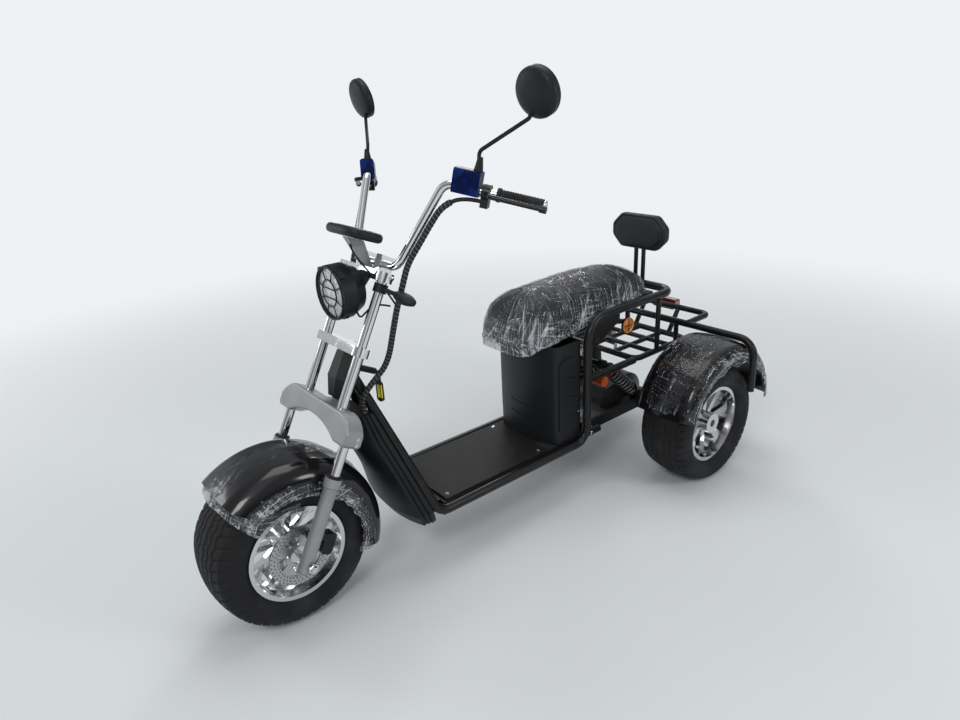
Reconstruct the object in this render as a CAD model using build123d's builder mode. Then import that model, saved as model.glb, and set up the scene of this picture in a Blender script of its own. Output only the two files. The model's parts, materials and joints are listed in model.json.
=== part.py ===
from build123d import *
import os
from math import atan2, cos, degrees, radians, sin, sqrt, tan

# A three-wheeled electric chopper: one fat steered front wheel and two driven rear wheels.
# Millimetres. The front is -Y, the rider's left is +X, the floor is z = 0.
os.makedirs("parts", exist_ok=True)

# Clearances
fit = 0.3
running_fit = 0.5
wall_gap = 0.5

# Wheels
wheelbase = 1426.0
front_tyre_r = 225.0
front_tyre_half = 106.0
rear_tyre_r = 214.0
rear_tyre_half = 97.0
rear_half_track = 353.0
front_tyre_section = 97.0
rear_tyre_section = 86.0
flange_rise = 9.0
flange_w = 7.0
barrel_wall = 9.0
front_bead_half = 91.0
rear_bead_half = 67.0
tread_crown = 12.0
front_shoulder_in = 18.0
rear_shoulder_in = 14.0
front_spokes = 10
rear_spokes = 8
front_spoke_w = 17.0
rear_spoke_w = 30.0
front_spoke_t = 16.0
rear_spoke_t = 18.0
rear_spoke_draft = 86.0
rear_dish = 22.0
hub_r = 36.0
spoke_lap = 4.0
fork_r = 66.0
branch_w = 10.0
branch_spread = 0.5
lip_slope = 6.0
lip_w = 26.0
axle_r = 8.0
front_hub_half = 100.0
front_bead_r = front_tyre_r - front_tyre_section
rear_bead_r = rear_tyre_r - rear_tyre_section
front_disc_r = 86.0
front_disc_t = 4.0
front_disc_lat = 105.0
front_disc_holes = 12
front_disc_hole_r = 4.5
half_shaft_r = 13.0

# Rear mudguards
guard_room = 52.0
guard_r = rear_tyre_r + guard_room
guard_wall = 4.0
guard_back = 35.0
guard_lift = 26.0
guard_half = 112.0
guard_skirt = 42.0
guard_crown = 8.0
guard_round = 38.0
guard_front_angle = 167.0
guard_rear_angle = 2.0

# Places along the vehicle, worked out so that the origin is under the middle
overall_length = front_tyre_r + wheelbase + guard_back + guard_r
front_axle_y = front_tyre_r - overall_length / 2
rear_axle_y = front_axle_y + wheelbase

# Fork and steering
rake = 27.6
steer_back = 40.0
fork_lead = 8.0
upper_tube_lat = 93.0
lower_tube_lat = 156.0
fork_tube_r = 13.5
bridge_top = 408.0
bridge_flat = 105.0
bridge_half = 192.0
bridge_foot = 330.0
bridge_shoulder = 366.0
bridge_arch = 362.0
bridge_depth = 52.0
bridge_round = 6.0
upper_tube_seat = 32.0
lower_tube_seat = 42.0
stem_r = 14.0
head_tube_r = 24.0
head_gap = 4.0
clamp_low = 553.0
clamp_t = 25.0
clamp_half = 118.0
clamp_depth = 48.0
top_clamp_t = 26.0
top_clamp_drop = 45.68
slider_r = 19.0
collar_r = 23.0
collar_top = 240.0
collar_low = 212.0
slider_foot = -24.0
slider_bore_depth = 70.0

# Front mudguard
front_guard_room = 43.0
front_guard_r = front_tyre_r + front_guard_room
front_guard_half = 124.0
front_guard_skirt = 82.0
front_guard_wall = 4.0
front_guard_start = 53.0
front_guard_end = 197.0
front_guard_crown = 14.0
guard_boss_along = 192.0
guard_boss_r = 9.0
front_guard_round = 62.0

# Handlebar and what is on it
bar_r = 11.0
bar_height = 930.0
bar_behind_fork = 13.68
bar_bend_x = 105.0
bar_rise_x = 187.0
bar_rise_back = 112.0
bar_rise = 210.0
bar_end_x = 395.0
bar_end_back = 252.0
bar_end_rise = 153.0
bar_bend_r = 38.0
bar_top_r = 34.0
riser_x = 42.0
riser_w = 26.0
riser_size = 44.0
riser_cap = 12.0
grip_r = 15.7
grip_len = 118.0
cap_len = 8.0
mirror_r = 59.0
mirror_t = 22.0
mirror_rim = 4.0
mirror_stem_r = 5.0

# Head lamp
lamp_r = 76.0
lamp_depth = 72.0
lamp_below_bar = 55.0
lamp_ahead = 143.0
lamp_wall = 5.0
lamp_grille_t = 7.0
lamp_bar_r = 3.0

# Frame tubes
grid_z = 418.0
rail_r = 15.0
rail_x = 160.0
rail_low_z = 190.0
rail_high_z = 631.0
rail_front_y = front_axle_y + 416.0
rail_rise_y = rear_axle_y - 367.0
rail_back_y = rear_axle_y + 95.0
rail_front_bend = 48.0
rail_low_bend = 55.0
rail_high_bend = 85.0
rail_back_bend = 60.0
head_joint_x = 16.0
gusset_t = 4.0
gusset_drop = 128.0
gusset_back = 160.0
gusset_tail = 40.0

# Floor, leg shield and seat box
pan_low = 152.0
pan_top = 200.0
pan_nose_back = 34.0
pan_nose_in = 27.0
pan_round = 14.0
mat_t = 7.0
mat_half = 138.0
mat_front_back = 12.0
mat_gap = 1.0
box_half = 144.0
box_front = rear_axle_y - 526.0
box_corner_back = 34.0
box_rear = rear_axle_y - 384.0
box_top = 562.0
box_wall = 5.0
box_edge_r = 26.0
shield_ridges = 2
ridge_in = 7.0
# side panel of the seat box and its louvres
panel_front = 40.0
panel_back = 15.0
panel_low = 245.0
panel_high = 512.0
panel_round = 22.0
panel_t = 3.0
louvre_t = 2.0
louvre_h = 6.0
louvre_half = 52.0
scallop_h = 14.0

# Seat
seat_front = rear_axle_y - 650.0
seat_rear = rear_axle_y + 52.0
seat_half = 138.0
base_t = 20.0
base_half = 126.0
base_z = 570.0
base_front_in = 42.0
base_rear_in = 34.0
base_kink_y = rear_axle_y - 476.0
base_level_y = rear_axle_y - 284.0
base_kink_rise = 3.0
base_level_rise = 38.0
base_rear_rise = 48.0
seat_trim = 50.0
seat_hinge_y = box_front - 19.0
seat_hinge_z = 552.0
hinge_pin_r = 6.0
hinge_lug_r = 12.0
hinge_x = 50.0
hinge_lug_w = 14.0

# Backrest
pad_half = 123.0
pad_height = 128.0
pad_t = 44.0
pad_z = 828.0
pad_corner = 42.0
pad_ahead = 24.0
post_r = 8.0
post_x = 17.0
post_back = 2.0

# Rear rack
rack_r = 11.0
rack_bar_r = 9.0
rack_post_back = 120.0
top_bend = 25.0
top_rise = 6.0
grid_bend = 30.0
grid_pitch = 100.0
hoop_gap = 2.0
hoop_r = 12.5
hoop_y = rear_axle_y + 125.0
hoop_bend = 60.0
hoop_end_z = 318.0
rack_top_z = 512.0
rack_back_y = rear_axle_y + 250.0
rack_top_x = 212.0
grid_x = rail_x
grid_front_y = rear_axle_y - 110.0
grid_back_y = rear_axle_y + 190.0

hoop_over = sqrt((guard_r + hoop_r + fit) ** 2 - (hoop_y - rear_axle_y - guard_back) ** 2)
hoop_z = rear_tyre_r + guard_lift + hoop_over

# Rear axle, swing arm and shock absorbers
axle_tube_r = 27.0
axle_tube_half = 240.0
diff_r = 78.0
diff_half = 62.0
motor_r = 72.0
motor_len = 146.0
motor_y = rear_axle_y - 128.0
motor_z = rear_tyre_r + 12.0
arm_w = 34.0
arm_h = 44.0
pivot_y = rear_axle_y - 330.0
shock_x = 108.0
arm_x = shock_x
shock_top = (rear_axle_y - 232.0, grid_z)
saddle_r = 39.0
eye_w = 20.0
eye_gap = 4.0
head_eye_r = 19.0
foot_eye_r = 13.0
foot_pin_r = 6.0
spring_seat_top = 40.0
spring_seat_foot = 34.0
spring_seat_t = 8.0
reservoir_r = 19.0
reservoir_len = 46.0
reservoir_off = 48.0
reservoir_root = 30.0
reservoir_neck_r = 5.0
shock_body_r = 15.0
spring_r = 27.0
spring_turns = 8

# Directions and planes of the fork: along it, and back from it
fork_up = Vector(0, sin(radians(rake)), cos(radians(rake)))
fork_rear = Vector(0, cos(radians(rake)), -sin(radians(rake)))
front_axle = Vector(0, front_axle_y, front_tyre_r)
rear_axle = Vector(0, rear_axle_y, rear_tyre_r)
fork_plane = Plane(origin=front_axle, x_dir=(1, 0, 0), z_dir=fork_up)


def at_fork(lateral, along, back=0.0):
    """A place given across the fork, up along it from the axle, and back from it."""
    return front_axle + Vector(lateral, 0, 0) + fork_up * along + fork_rear * back


# The bar's middle over the fork, and the clamp and lamp that hang from it
bar_along = (bar_height - front_tyre_r + bar_behind_fork * sin(radians(rake))) / cos(radians(rake))
bar_y = at_fork(0, bar_along, bar_behind_fork).Y
top_clamp_low = bar_along - top_clamp_drop
lamp_y = bar_y - lamp_ahead
lamp_z = bar_height - lamp_below_bar


def wheel_plane(lateral, place):
    """A plane through a wheel's axle, across the vehicle and upwards."""
    return Plane(origin=place + Vector(lateral, 0, 0), x_dir=(1, 0, 0), z_dir=(0, -1, 0))


def rod(points, radius, bends=None):
    """A round tube along a bent line."""
    with BuildPart() as tube:
        with BuildLine() as path:
            if bends:
                FilletPolyline(*points, radius=bends)
            else:
                Polyline(*points)
        with BuildSketch(Plane(origin=path.line @ 0, z_dir=path.line % 0)):
            Circle(radius)
        sweep()
    return tube.part


def arch(half, edge_r, crown_r, crown, round_r):
    """A mudguard's section, filled: a crowned top with rounded shoulders."""
    with BuildSketch() as section:
        with BuildLine():
            ThreePointArc((-half, crown_r - crown), (0, crown_r), (half, crown_r - crown))
            Polyline((half, crown_r - crown), (half, edge_r), (-half, edge_r), (-half, crown_r - crown))
        make_face()
        fillet(section.vertices().group_by(Axis.Y)[-1], round_r)
    return section.sketch


def write(piece, name):
    """Labels a finished piece and writes it."""
    piece.part.label = name
    export_step(piece.part, f"parts/{name}.step")


# Tyres: crown, sidewalls and beads turned about the axle
wheels = [
    ("front", 0.0, front_axle, front_tyre_r, front_tyre_half, front_bead_r, front_bead_half, front_shoulder_in),
    ("rear_left", rear_half_track, rear_axle, rear_tyre_r, rear_tyre_half, rear_bead_r, rear_bead_half, rear_shoulder_in),
    ("rear_right", -rear_half_track, rear_axle, rear_tyre_r, rear_tyre_half, rear_bead_r, rear_bead_half, rear_shoulder_in),
]
for name, lateral, place, outer_r, half, bead_r, bead_half, shoulder_in in wheels:
    shoulder = half - shoulder_in
    flange_r = bead_r + flange_rise
    with BuildPart() as tyre:
        with BuildSketch(wheel_plane(lateral, place)):
            with BuildLine():
                Line((-bead_half + fit, bead_r + fit), (bead_half - fit, bead_r + fit))
                Line((bead_half - fit, bead_r + fit), (bead_half - fit, flange_r))
                ThreePointArc(
                    (bead_half - fit, flange_r),
                    (half, (flange_r + outer_r) / 2),
                    (shoulder, outer_r - tread_crown),
                )
                ThreePointArc((shoulder, outer_r - tread_crown), (0, outer_r), (-shoulder, outer_r - tread_crown))
                ThreePointArc(
                    (-shoulder, outer_r - tread_crown),
                    (-half, (flange_r + outer_r) / 2),
                    (-bead_half + fit, flange_r),
                )
                Line((-bead_half + fit, flange_r), (-bead_half + fit, bead_r + fit))
            make_face()
        revolve(axis=Axis(place, (1, 0, 0)))
    write(tyre, f"{name}_tyre")

# Rims: a barrel between two flanges, spokes, and a hub that turns on its axle
rims = [
    ("front", 0.0, front_axle, front_bead_r, front_bead_half, front_spokes, front_spoke_t, 0.0, front_hub_half, axle_r),
    ("rear_left", rear_half_track, rear_axle, rear_bead_r, rear_bead_half, rear_spokes, rear_spoke_t, rear_dish,
     rear_bead_half, half_shaft_r),
    ("rear_right", -rear_half_track, rear_axle, rear_bead_r, rear_bead_half, rear_spokes, rear_spoke_t, -rear_dish,
     rear_bead_half, half_shaft_r),
]
for name, lateral, place, bead_r, bead_half, spokes, spoke_t, dish, hub_half, shaft_r in rims:
    barrel_in = bead_r - barrel_wall
    flange_r = bead_r + flange_rise
    flange_half = bead_half + flange_w
    spoke_end = barrel_in + spoke_lap
    branch_y = branch_spread * barrel_in * sin(radians(180 / spokes))
    branch_turn = degrees(atan2(branch_y, spoke_end - fork_r))
    branch_len = sqrt(branch_y**2 + (spoke_end - fork_r) ** 2)
    with BuildPart() as rim:
        with BuildSketch(wheel_plane(lateral, place)):
            with BuildLine():
                Polyline(
                    (-flange_half, barrel_in + lip_slope), (-flange_half + lip_w, barrel_in), (flange_half - lip_w, barrel_in),
                    (flange_half, barrel_in + lip_slope), (flange_half, flange_r),
                    (bead_half, flange_r), (bead_half, bead_r), (-bead_half, bead_r),
                    (-bead_half, flange_r), (-flange_half, flange_r), close=True,
                )
            make_face()
        revolve(axis=Axis(place, (1, 0, 0)))
        spoke_plane = Plane(origin=place + Vector(lateral + dish - spoke_t / 2, 0, 0), x_dir=(0, 1, 0), z_dir=(1, 0, 0))
        with BuildSketch(spoke_plane):
            with PolarLocations(0, spokes):
                if name == "front":
                    with Locations(((hub_r + fork_r) / 2, 0)):
                        Rectangle(fork_r - hub_r + 2 * spoke_lap, front_spoke_w)
                    with Locations(Location(((fork_r + spoke_end) / 2, branch_y / 2), branch_turn),
                                   Location(((fork_r + spoke_end) / 2, -branch_y / 2), -branch_turn)):
                        Rectangle(branch_len + spoke_lap, branch_w)
                else:
                    with Locations(((hub_r + barrel_in) / 2, 0)):
                        Trapezoid(rear_spoke_w, barrel_in - hub_r + 2 * spoke_lap, rear_spoke_draft, rotation=90)
        extrude(amount=spoke_t)
        with BuildSketch(Plane(origin=place + Vector(lateral - hub_half, 0, 0), x_dir=(0, 1, 0), z_dir=(1, 0, 0))):
            Circle(hub_r)
        extrude(amount=2 * hub_half)
        with BuildSketch(Plane(origin=place + Vector(lateral - hub_half, 0, 0), x_dir=(0, 1, 0), z_dir=(1, 0, 0))):
            Circle(shaft_r + running_fit)
        extrude(amount=2 * hub_half, mode=Mode.SUBTRACT)
    write(rim, f"{name}_rim")

# Front brake disc, drilled, on the left end of the hub
with BuildPart() as front_disc:
    disc_plane = Plane(origin=front_axle + Vector(front_disc_lat - front_disc_t / 2, 0, 0), x_dir=(0, 1, 0), z_dir=(1, 0, 0))
    with BuildSketch(disc_plane):
        Circle(front_disc_r)
        Circle(axle_r + running_fit, mode=Mode.SUBTRACT)
        with PolarLocations((front_disc_r + hub_r) / 2, front_disc_holes):
            Circle(front_disc_hole_r, mode=Mode.SUBTRACT)
    extrude(amount=front_disc_t)
    with BuildSketch(Plane(origin=front_axle + Vector(front_hub_half + fit, 0, 0), x_dir=(0, 1, 0), z_dir=(1, 0, 0))):
        Circle(hub_r - 4)
        Circle(axle_r + running_fit, mode=Mode.SUBTRACT)
    extrude(amount=front_disc_lat - front_hub_half - fit)
write(front_disc, "front_disc")

# Front axle, from slider to slider
slider_outer = lower_tube_lat + slider_r
with BuildPart() as front_axle_rod:
    with BuildSketch(Plane(origin=front_axle - Vector(slider_outer + 6, 0, 0), x_dir=(0, 1, 0), z_dir=(1, 0, 0))):
        Circle(axle_r)
    extrude(amount=2 * (slider_outer + 6))
write(front_axle_rod, "front_axle")

# Fork sliders: a turned leg with a collar, bored for the tube, crossed by the axle
with BuildPart() as sliders:
    for side in (-1, 1):
        leg_plane = Plane(
            origin=at_fork(side * lower_tube_lat, 0, -fork_lead), x_dir=(1, 0, 0), z_dir=fork_rear * -1
        )
        with BuildSketch(leg_plane):
            with BuildLine():
                Polyline(
                    (0, slider_foot), (slider_r - 5, slider_foot), (slider_r, slider_foot + 5),
                    (slider_r, collar_low), (collar_r, collar_low + 4), (collar_r, collar_top),
                    (fork_tube_r + fit, collar_top), (fork_tube_r + fit, collar_top - slider_bore_depth),
                    (0, collar_top - slider_bore_depth), close=True,
                )
            make_face()
        revolve(axis=Axis(leg_plane.origin, fork_up))
    with BuildSketch(Plane(origin=front_axle - Vector(2 * slider_outer, 0, 0), x_dir=(0, 1, 0), z_dir=(1, 0, 0))):
        Circle(axle_r + fit)
    extrude(amount=4 * slider_outer, mode=Mode.SUBTRACT)
write(sliders, "fork_sliders")

# Fork tubes: the long upper pair and the short lower pair
with BuildPart() as fork_tubes:
    for side in (-1, 1):
        add(rod(
            [at_fork(side * upper_tube_lat, bridge_top - upper_tube_seat + fit, -fork_lead),
             at_fork(side * upper_tube_lat, top_clamp_low + top_clamp_t, -fork_lead)], fork_tube_r))
        add(rod(
            [at_fork(side * lower_tube_lat, collar_top - slider_bore_depth + fit, -fork_lead),
             at_fork(side * lower_tube_lat, bridge_foot + lower_tube_seat - fit, -fork_lead)], fork_tube_r))
write(fork_tubes, "fork_tubes")

# Fork bridge: the arched lower yoke with the steering stem
with BuildPart() as fork_bridge:
    with BuildSketch(Plane(origin=at_fork(0, 0, -fork_lead), x_dir=(1, 0, 0), z_dir=fork_rear * -1)):
        with BuildLine():
            Line((-bridge_flat, bridge_top), (bridge_flat, bridge_top))
            arch_x = lower_tube_lat - slider_r - 6
            for side in (-1, 1):
                ThreePointArc(
                    (side * bridge_flat, bridge_top),
                    (side * (bridge_flat + 0.66 * (bridge_half - bridge_flat)), bridge_top - 11),
                    (side * bridge_half, bridge_shoulder),
                )
                Polyline(
                    (side * bridge_half, bridge_shoulder), (side * bridge_half, bridge_foot + 8),
                    (side * (bridge_half - 8), bridge_foot), (side * arch_x, bridge_foot),
                )
            ThreePointArc((-arch_x, bridge_foot), (0, bridge_arch), (arch_x, bridge_foot))
        make_face()
    extrude(amount=bridge_depth / 2, both=True)
    bridge_ends = fork_bridge.faces().filter_by(lambda face: abs(face.normal_at().dot(fork_rear)) > 0.99)
    fillet(bridge_ends.edges(), bridge_round)
    with BuildSketch(fork_plane.offset(bridge_arch + 4)):
        with Locations((0, steer_back / 2)):
            Rectangle(2 * (stem_r + 16), steer_back + 20)
        with Locations((0, steer_back)):
            Circle(stem_r + 16)
    extrude(amount=bridge_top - bridge_arch - 4)
    with BuildSketch(fork_plane.offset(bridge_top)):
        with Locations((0, steer_back)):
            Circle(stem_r)
    extrude(amount=clamp_low + clamp_t - bridge_top)
    for side in (-1, 1):
        with BuildSketch(fork_plane.offset(bridge_top - upper_tube_seat)):
            with Locations((side * upper_tube_lat, -fork_lead)):
                Circle(fork_tube_r + fit)
        extrude(amount=2 * upper_tube_seat, mode=Mode.SUBTRACT)
        with BuildSketch(fork_plane.offset(bridge_foot)):
            with Locations((side * lower_tube_lat, -fork_lead)):
                Circle(fork_tube_r + fit)
        extrude(amount=lower_tube_seat, mode=Mode.SUBTRACT)
write(fork_bridge, "fork_bridge")

# Middle and top clamps: plates round the two upper tubes
clamps = [("middle_clamp", clamp_low, clamp_t, stem_r + fit), ("top_clamp", top_clamp_low, top_clamp_t, 0.0)]
for name, low, thick, stem_bore in clamps:
    with BuildPart() as clamp:
        with BuildSketch(fork_plane.offset(low)):
            with Locations((0, -fork_lead)):
                RectangleRounded(2 * clamp_half, clamp_depth, clamp_depth / 2 - 1)
            if stem_bore:
                with Locations((0, steer_back / 2)):
                    Rectangle(2 * (stem_r + 12), steer_back)
                with Locations((0, steer_back)):
                    Circle(stem_r + 12)
                with Locations((0, steer_back)):
                    Circle(stem_bore, mode=Mode.SUBTRACT)
            with Locations((-upper_tube_lat, -fork_lead), (upper_tube_lat, -fork_lead)):
                Circle(fork_tube_r + fit, mode=Mode.SUBTRACT)
        extrude(amount=thick)
        if name == "top_clamp":
            with BuildSketch(fork_plane.offset(low + thick)):
                with Locations((-riser_x, bar_behind_fork), (riser_x, bar_behind_fork)):
                    Rectangle(riser_w, riser_size)
            extrude(amount=bar_along + bar_r + riser_cap - low - thick)
            with BuildSketch(Plane(origin=(-clamp_half, bar_y, bar_height), x_dir=(0, 1, 0), z_dir=(1, 0, 0))):
                Circle(bar_r + fit)
            extrude(amount=2 * clamp_half, mode=Mode.SUBTRACT)
    write(clamp, name)

# Handlebar: up from the risers, then out and back to the grips
bar_points = [
    (bar_end_x, bar_y + bar_end_back, bar_height + bar_end_rise),
    (bar_rise_x, bar_y + bar_rise_back, bar_height + bar_rise),
    (bar_bend_x, bar_y, bar_height),
]
bar_line = bar_points + [(-x, y, z) for x, y, z in reversed(bar_points)]
with BuildPart() as handlebar:
    add(rod(bar_line, bar_r, [bar_top_r, bar_bend_r, bar_bend_r, bar_top_r]))
write(handlebar, "handlebar")

# Grips: sleeves over the bar's ends with end caps
bar_end = Vector(*bar_points[0])
bar_run = (bar_end - Vector(*bar_points[1])).normalized()


def on_bar(side, back_from_end):
    """A place on one side's straight bar end."""
    place = bar_end - bar_run * back_from_end
    return Vector(side * place.X, place.Y, place.Z)


def bar_way(side):
    """The direction of one side's bar end, outwards."""
    return Vector(side * bar_run.X, bar_run.Y, bar_run.Z)


with BuildPart() as grips:
    for side in (-1, 1):
        inner = Plane(origin=on_bar(side, grip_len), z_dir=bar_way(side))
        with BuildSketch(inner):
            Circle(grip_r)
        extrude(amount=grip_len + cap_len)
        with BuildSketch(inner):
            Circle(bar_r + fit)
        extrude(amount=grip_len + fit, mode=Mode.SUBTRACT)
write(grips, "grips")

# Switch boxes and lever perches clamp round the bar inboard of the grips
switch_from_end = grip_len + 46.0
switch_len = 70.0
switch_w = 40.0
switch_h = 62.0
switch_top = 46.0
switch_corner = 9.0
perch_from_end = grip_len + 24.0
perch_len = 30.0
perch_lap = 16.0
perch_drop = 38.0
perch_w = 24.0
perch_ring = 9.0
perch_trim = 10.0
lever_len = 150.0
lever_r = 6.0
lever_ball_r = 8.5
lever_bend = 8.0
lever_gap = 8.0
lever_reach = 26.0
lever_lead = 14.0
lever_sweep = 30.0
with BuildPart() as switches:
    for side in (-1, 1):
        place = Plane(origin=on_bar(side, switch_from_end + switch_len), x_dir=(0, 0, 1), z_dir=bar_way(side))
        with BuildSketch(place):
            with Locations((switch_top - switch_h / 2, 0)):
                RectangleRounded(switch_h, switch_w, switch_corner)
            Circle(bar_r + fit, mode=Mode.SUBTRACT)
        extrude(amount=switch_len)
write(switches, "switch_boxes")

with BuildPart() as levers:
    for side in (-1, 1):
        way = bar_way(side)
        ahead = Vector(0, 0, 1).cross(way) * (1 if side < 0 else -1)
        place = Plane(origin=on_bar(side, perch_from_end + perch_len - perch_lap), x_dir=(0, 0, 1), z_dir=way)
        with BuildSketch(place):
            Circle(bar_r + perch_ring)
            with Locations((-perch_drop / 2, 0)):
                Rectangle(perch_drop, perch_w)
            Circle(bar_r + fit, mode=Mode.SUBTRACT)
        extrude(amount=perch_len - perch_trim)
        start = on_bar(side, perch_from_end) + ahead * (bar_r + lever_gap)
        elbow = start + ahead * lever_reach + way * lever_lead
        tip = start + ahead * lever_sweep + way * lever_len
        add(rod([start, elbow, tip], lever_r, lever_bend))
        knob = (tip - elbow).normalized() * lever_ball_r
        add(rod([tip - knob, tip + knob], lever_ball_r))
write(levers, "levers")

# Mirrors: a bent stem, a shallow round housing and its glass
mirror_base_from_end = switch_from_end + 12.0
mirror_x = 391.0
mirror_behind_bar = 250.0
mirror_over_bar = 413.0
mirror_tilt = 14.0
mirror_turn = 0.10
mirror_back_in = 7.0
mirror_glass_in = 3.0
mirror_glass_t = 2.0
mirror_knee = 46.0
mirror_knee_back = 6.0
mirror_neck = 24.0
mirror_neck_in = 6.0
mirror_joint_in = 16.0
mirror_joint_low = 30.0
mirror_joint_sunk = 6.0
mirror_bends = [18.0, 12.0]
boot_r = 12.0
boot_top_r = 6.5
boot_h = 34.0
mirror_centre = Vector(mirror_x, bar_y + mirror_behind_bar, bar_height + mirror_over_bar)
with BuildPart() as mirrors:
    for side in (-1, 1):
        centre = Vector(side * mirror_centre.X, mirror_centre.Y, mirror_centre.Z)
        face = Vector(-side * mirror_turn, cos(radians(mirror_tilt)), sin(radians(mirror_tilt))).normalized()
        box_up = Plane(origin=(0, 0, 0), x_dir=(0, 0, 1), z_dir=bar_way(side)).x_dir
        foot = on_bar(side, mirror_base_from_end) + box_up * (switch_top + fit)
        knee = foot + Vector(0, mirror_knee_back, mirror_knee)
        joint = centre - face * (mirror_t - mirror_joint_sunk) - Vector(side * mirror_joint_in, 0, mirror_joint_low)
        neck = joint - Vector(side * mirror_neck_in, 0, mirror_neck)
        add(rod([foot + box_up * mirror_stem_r, knee, neck, joint], mirror_stem_r, mirror_bends))
        with BuildSketch(Plane(origin=foot, z_dir=box_up)):
            Circle(boot_r)
        with BuildSketch(Plane(origin=foot + box_up * boot_h, z_dir=box_up)):
            Circle(boot_top_r)
        loft()
        with BuildSketch(Plane(origin=centre - face * mirror_t, z_dir=face)):
            Circle(mirror_r - mirror_back_in)
        with BuildSketch(Plane(origin=centre, z_dir=face)):
            Circle(mirror_r)
        loft()
        with BuildSketch(Plane(origin=centre - face * mirror_glass_in, z_dir=face)):
            Circle(mirror_r - mirror_rim)
        extrude(amount=2 * mirror_glass_in, mode=Mode.SUBTRACT)
write(mirrors, "mirrors")

with BuildPart() as mirror_glass:
    for side in (-1, 1):
        centre = Vector(side * mirror_centre.X, mirror_centre.Y, mirror_centre.Z)
        face = Vector(-side * mirror_turn, cos(radians(mirror_tilt)), sin(radians(mirror_tilt))).normalized()
        with BuildSketch(Plane(origin=centre - face * mirror_glass_in, z_dir=face)):
            Circle(mirror_r - mirror_rim - fit)
        extrude(amount=mirror_glass_t)
write(mirror_glass, "mirror_glass")

# Head lamp: a deep housing with four lugs, a lens and a guard of rings and bars
lamp_face = Plane(origin=(0, lamp_y, lamp_z), x_dir=(1, 0, 0), z_dir=(0, -1, 0))
lamp_back = Plane(origin=(0, lamp_y + lamp_depth, lamp_z), x_dir=(1, 0, 0), z_dir=(0, -1, 0))
lug_angle = 45.0
with BuildPart() as lamp_housing:
    with BuildSketch(lamp_back):
        Circle(lamp_r - 18)
    with BuildSketch(lamp_face.offset(-lamp_depth * 0.55)):
        Circle(lamp_r - 2)
    loft()
    with BuildSketch(lamp_face.offset(-lamp_depth * 0.55)):
        Circle(lamp_r - 2)
    extrude(amount=lamp_depth * 0.55)
    with BuildSketch(lamp_face.offset(-14)):
        with PolarLocations(lamp_r - 3, 4, start_angle=lug_angle):
            Circle(10)
    extrude(amount=14)
    with BuildSketch(lamp_face.offset(-12)):
        Circle(lamp_r - 2 - lamp_wall)
    extrude(amount=12, mode=Mode.SUBTRACT)
    lamp_at = Vector(0, lamp_y + lamp_depth, lamp_z)
    with BuildSketch(Plane(origin=lamp_at - Vector(0, 12, 0), x_dir=(1, 0, 0), z_dir=(0, 1, 0))):
        with Locations((0, 20)):
            Rectangle(36, 30)
    extrude(amount=24)
write(lamp_housing, "lamp_housing")

with BuildPart() as lamp_lens:
    with BuildSketch(lamp_face.offset(-12 + fit)):
        Circle(lamp_r - 2 - lamp_wall - fit)
    extrude(amount=8)
write(lamp_lens, "lamp_lens")

with BuildPart() as lamp_grille:
    ring_plane = lamp_face.offset(fit)
    with BuildSketch(ring_plane):
        Circle(lamp_r - 3)
        Circle(lamp_r - 3 - 2 * lamp_bar_r, mode=Mode.SUBTRACT)
        Circle(lamp_r * 0.5 + lamp_bar_r)
        Circle(lamp_r * 0.5 - lamp_bar_r, mode=Mode.SUBTRACT)
        with PolarLocations(0, 8, start_angle=22.5):
            with Locations((lamp_r * 0.72, 0)):
                Rectangle(lamp_r * 0.5, 2 * lamp_bar_r)
        with Locations((0, lamp_r * 0.17), (0, -lamp_r * 0.17)):
            Rectangle(lamp_r * 0.96, 2 * lamp_bar_r)
    extrude(amount=lamp_grille_t)
write(lamp_grille, "lamp_grille")

# Lamp bracket: from the lamp's back pad to the middle of the top clamp
with BuildPart() as lamp_bracket:
    pad_y = lamp_y + lamp_depth + 12
    stem_low = at_fork(0, top_clamp_low, -fork_lead)
    with BuildSketch(Plane.YZ.offset(-20)):
        with BuildLine():
            Polyline(
                (pad_y + fit, lamp_z - 35), (pad_y + 6, lamp_z - 35), (pad_y + 6, lamp_z),
                (stem_low.Y + 10, stem_low.Z - 0.9), (stem_low.Y - 14, stem_low.Z + 11.6),
                (pad_y + fit, lamp_z + 14), close=True,
            )
        make_face()
    extrude(amount=40)
    with BuildSketch(fork_plane.offset(top_clamp_low)):
        with Locations((0, -fork_lead)):
            Rectangle(60, 80)
    extrude(amount=60, mode=Mode.SUBTRACT)
write(lamp_bracket, "lamp_bracket")

# Instrument: a flat rounded display on a bracket above the bar
dash_w = 165.0
dash_d = 118.0
dash_t = 26.0
dash_tilt = 21.5
dash_corner = 40.0
dash_edge_r = 4.0
dash_ahead = 55.0
dash_over_bar = 88.0
dash_at = Vector(0, bar_y - dash_ahead, bar_height + dash_over_bar)
dash_up = Vector(0, sin(radians(dash_tilt)), cos(radians(dash_tilt)))
dash_plane = Plane(origin=dash_at, x_dir=(1, 0, 0), z_dir=dash_up)
with BuildPart() as instrument:
    with BuildSketch(dash_plane.offset(-dash_t / 2)):
        RectangleRounded(dash_w, dash_d, dash_corner)
    extrude(amount=dash_t)
    fillet(instrument.edges().filter_by(GeomType.LINE, reverse=True).group_by(Axis.Z)[0], dash_edge_r)
write(instrument, "instrument")

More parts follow.
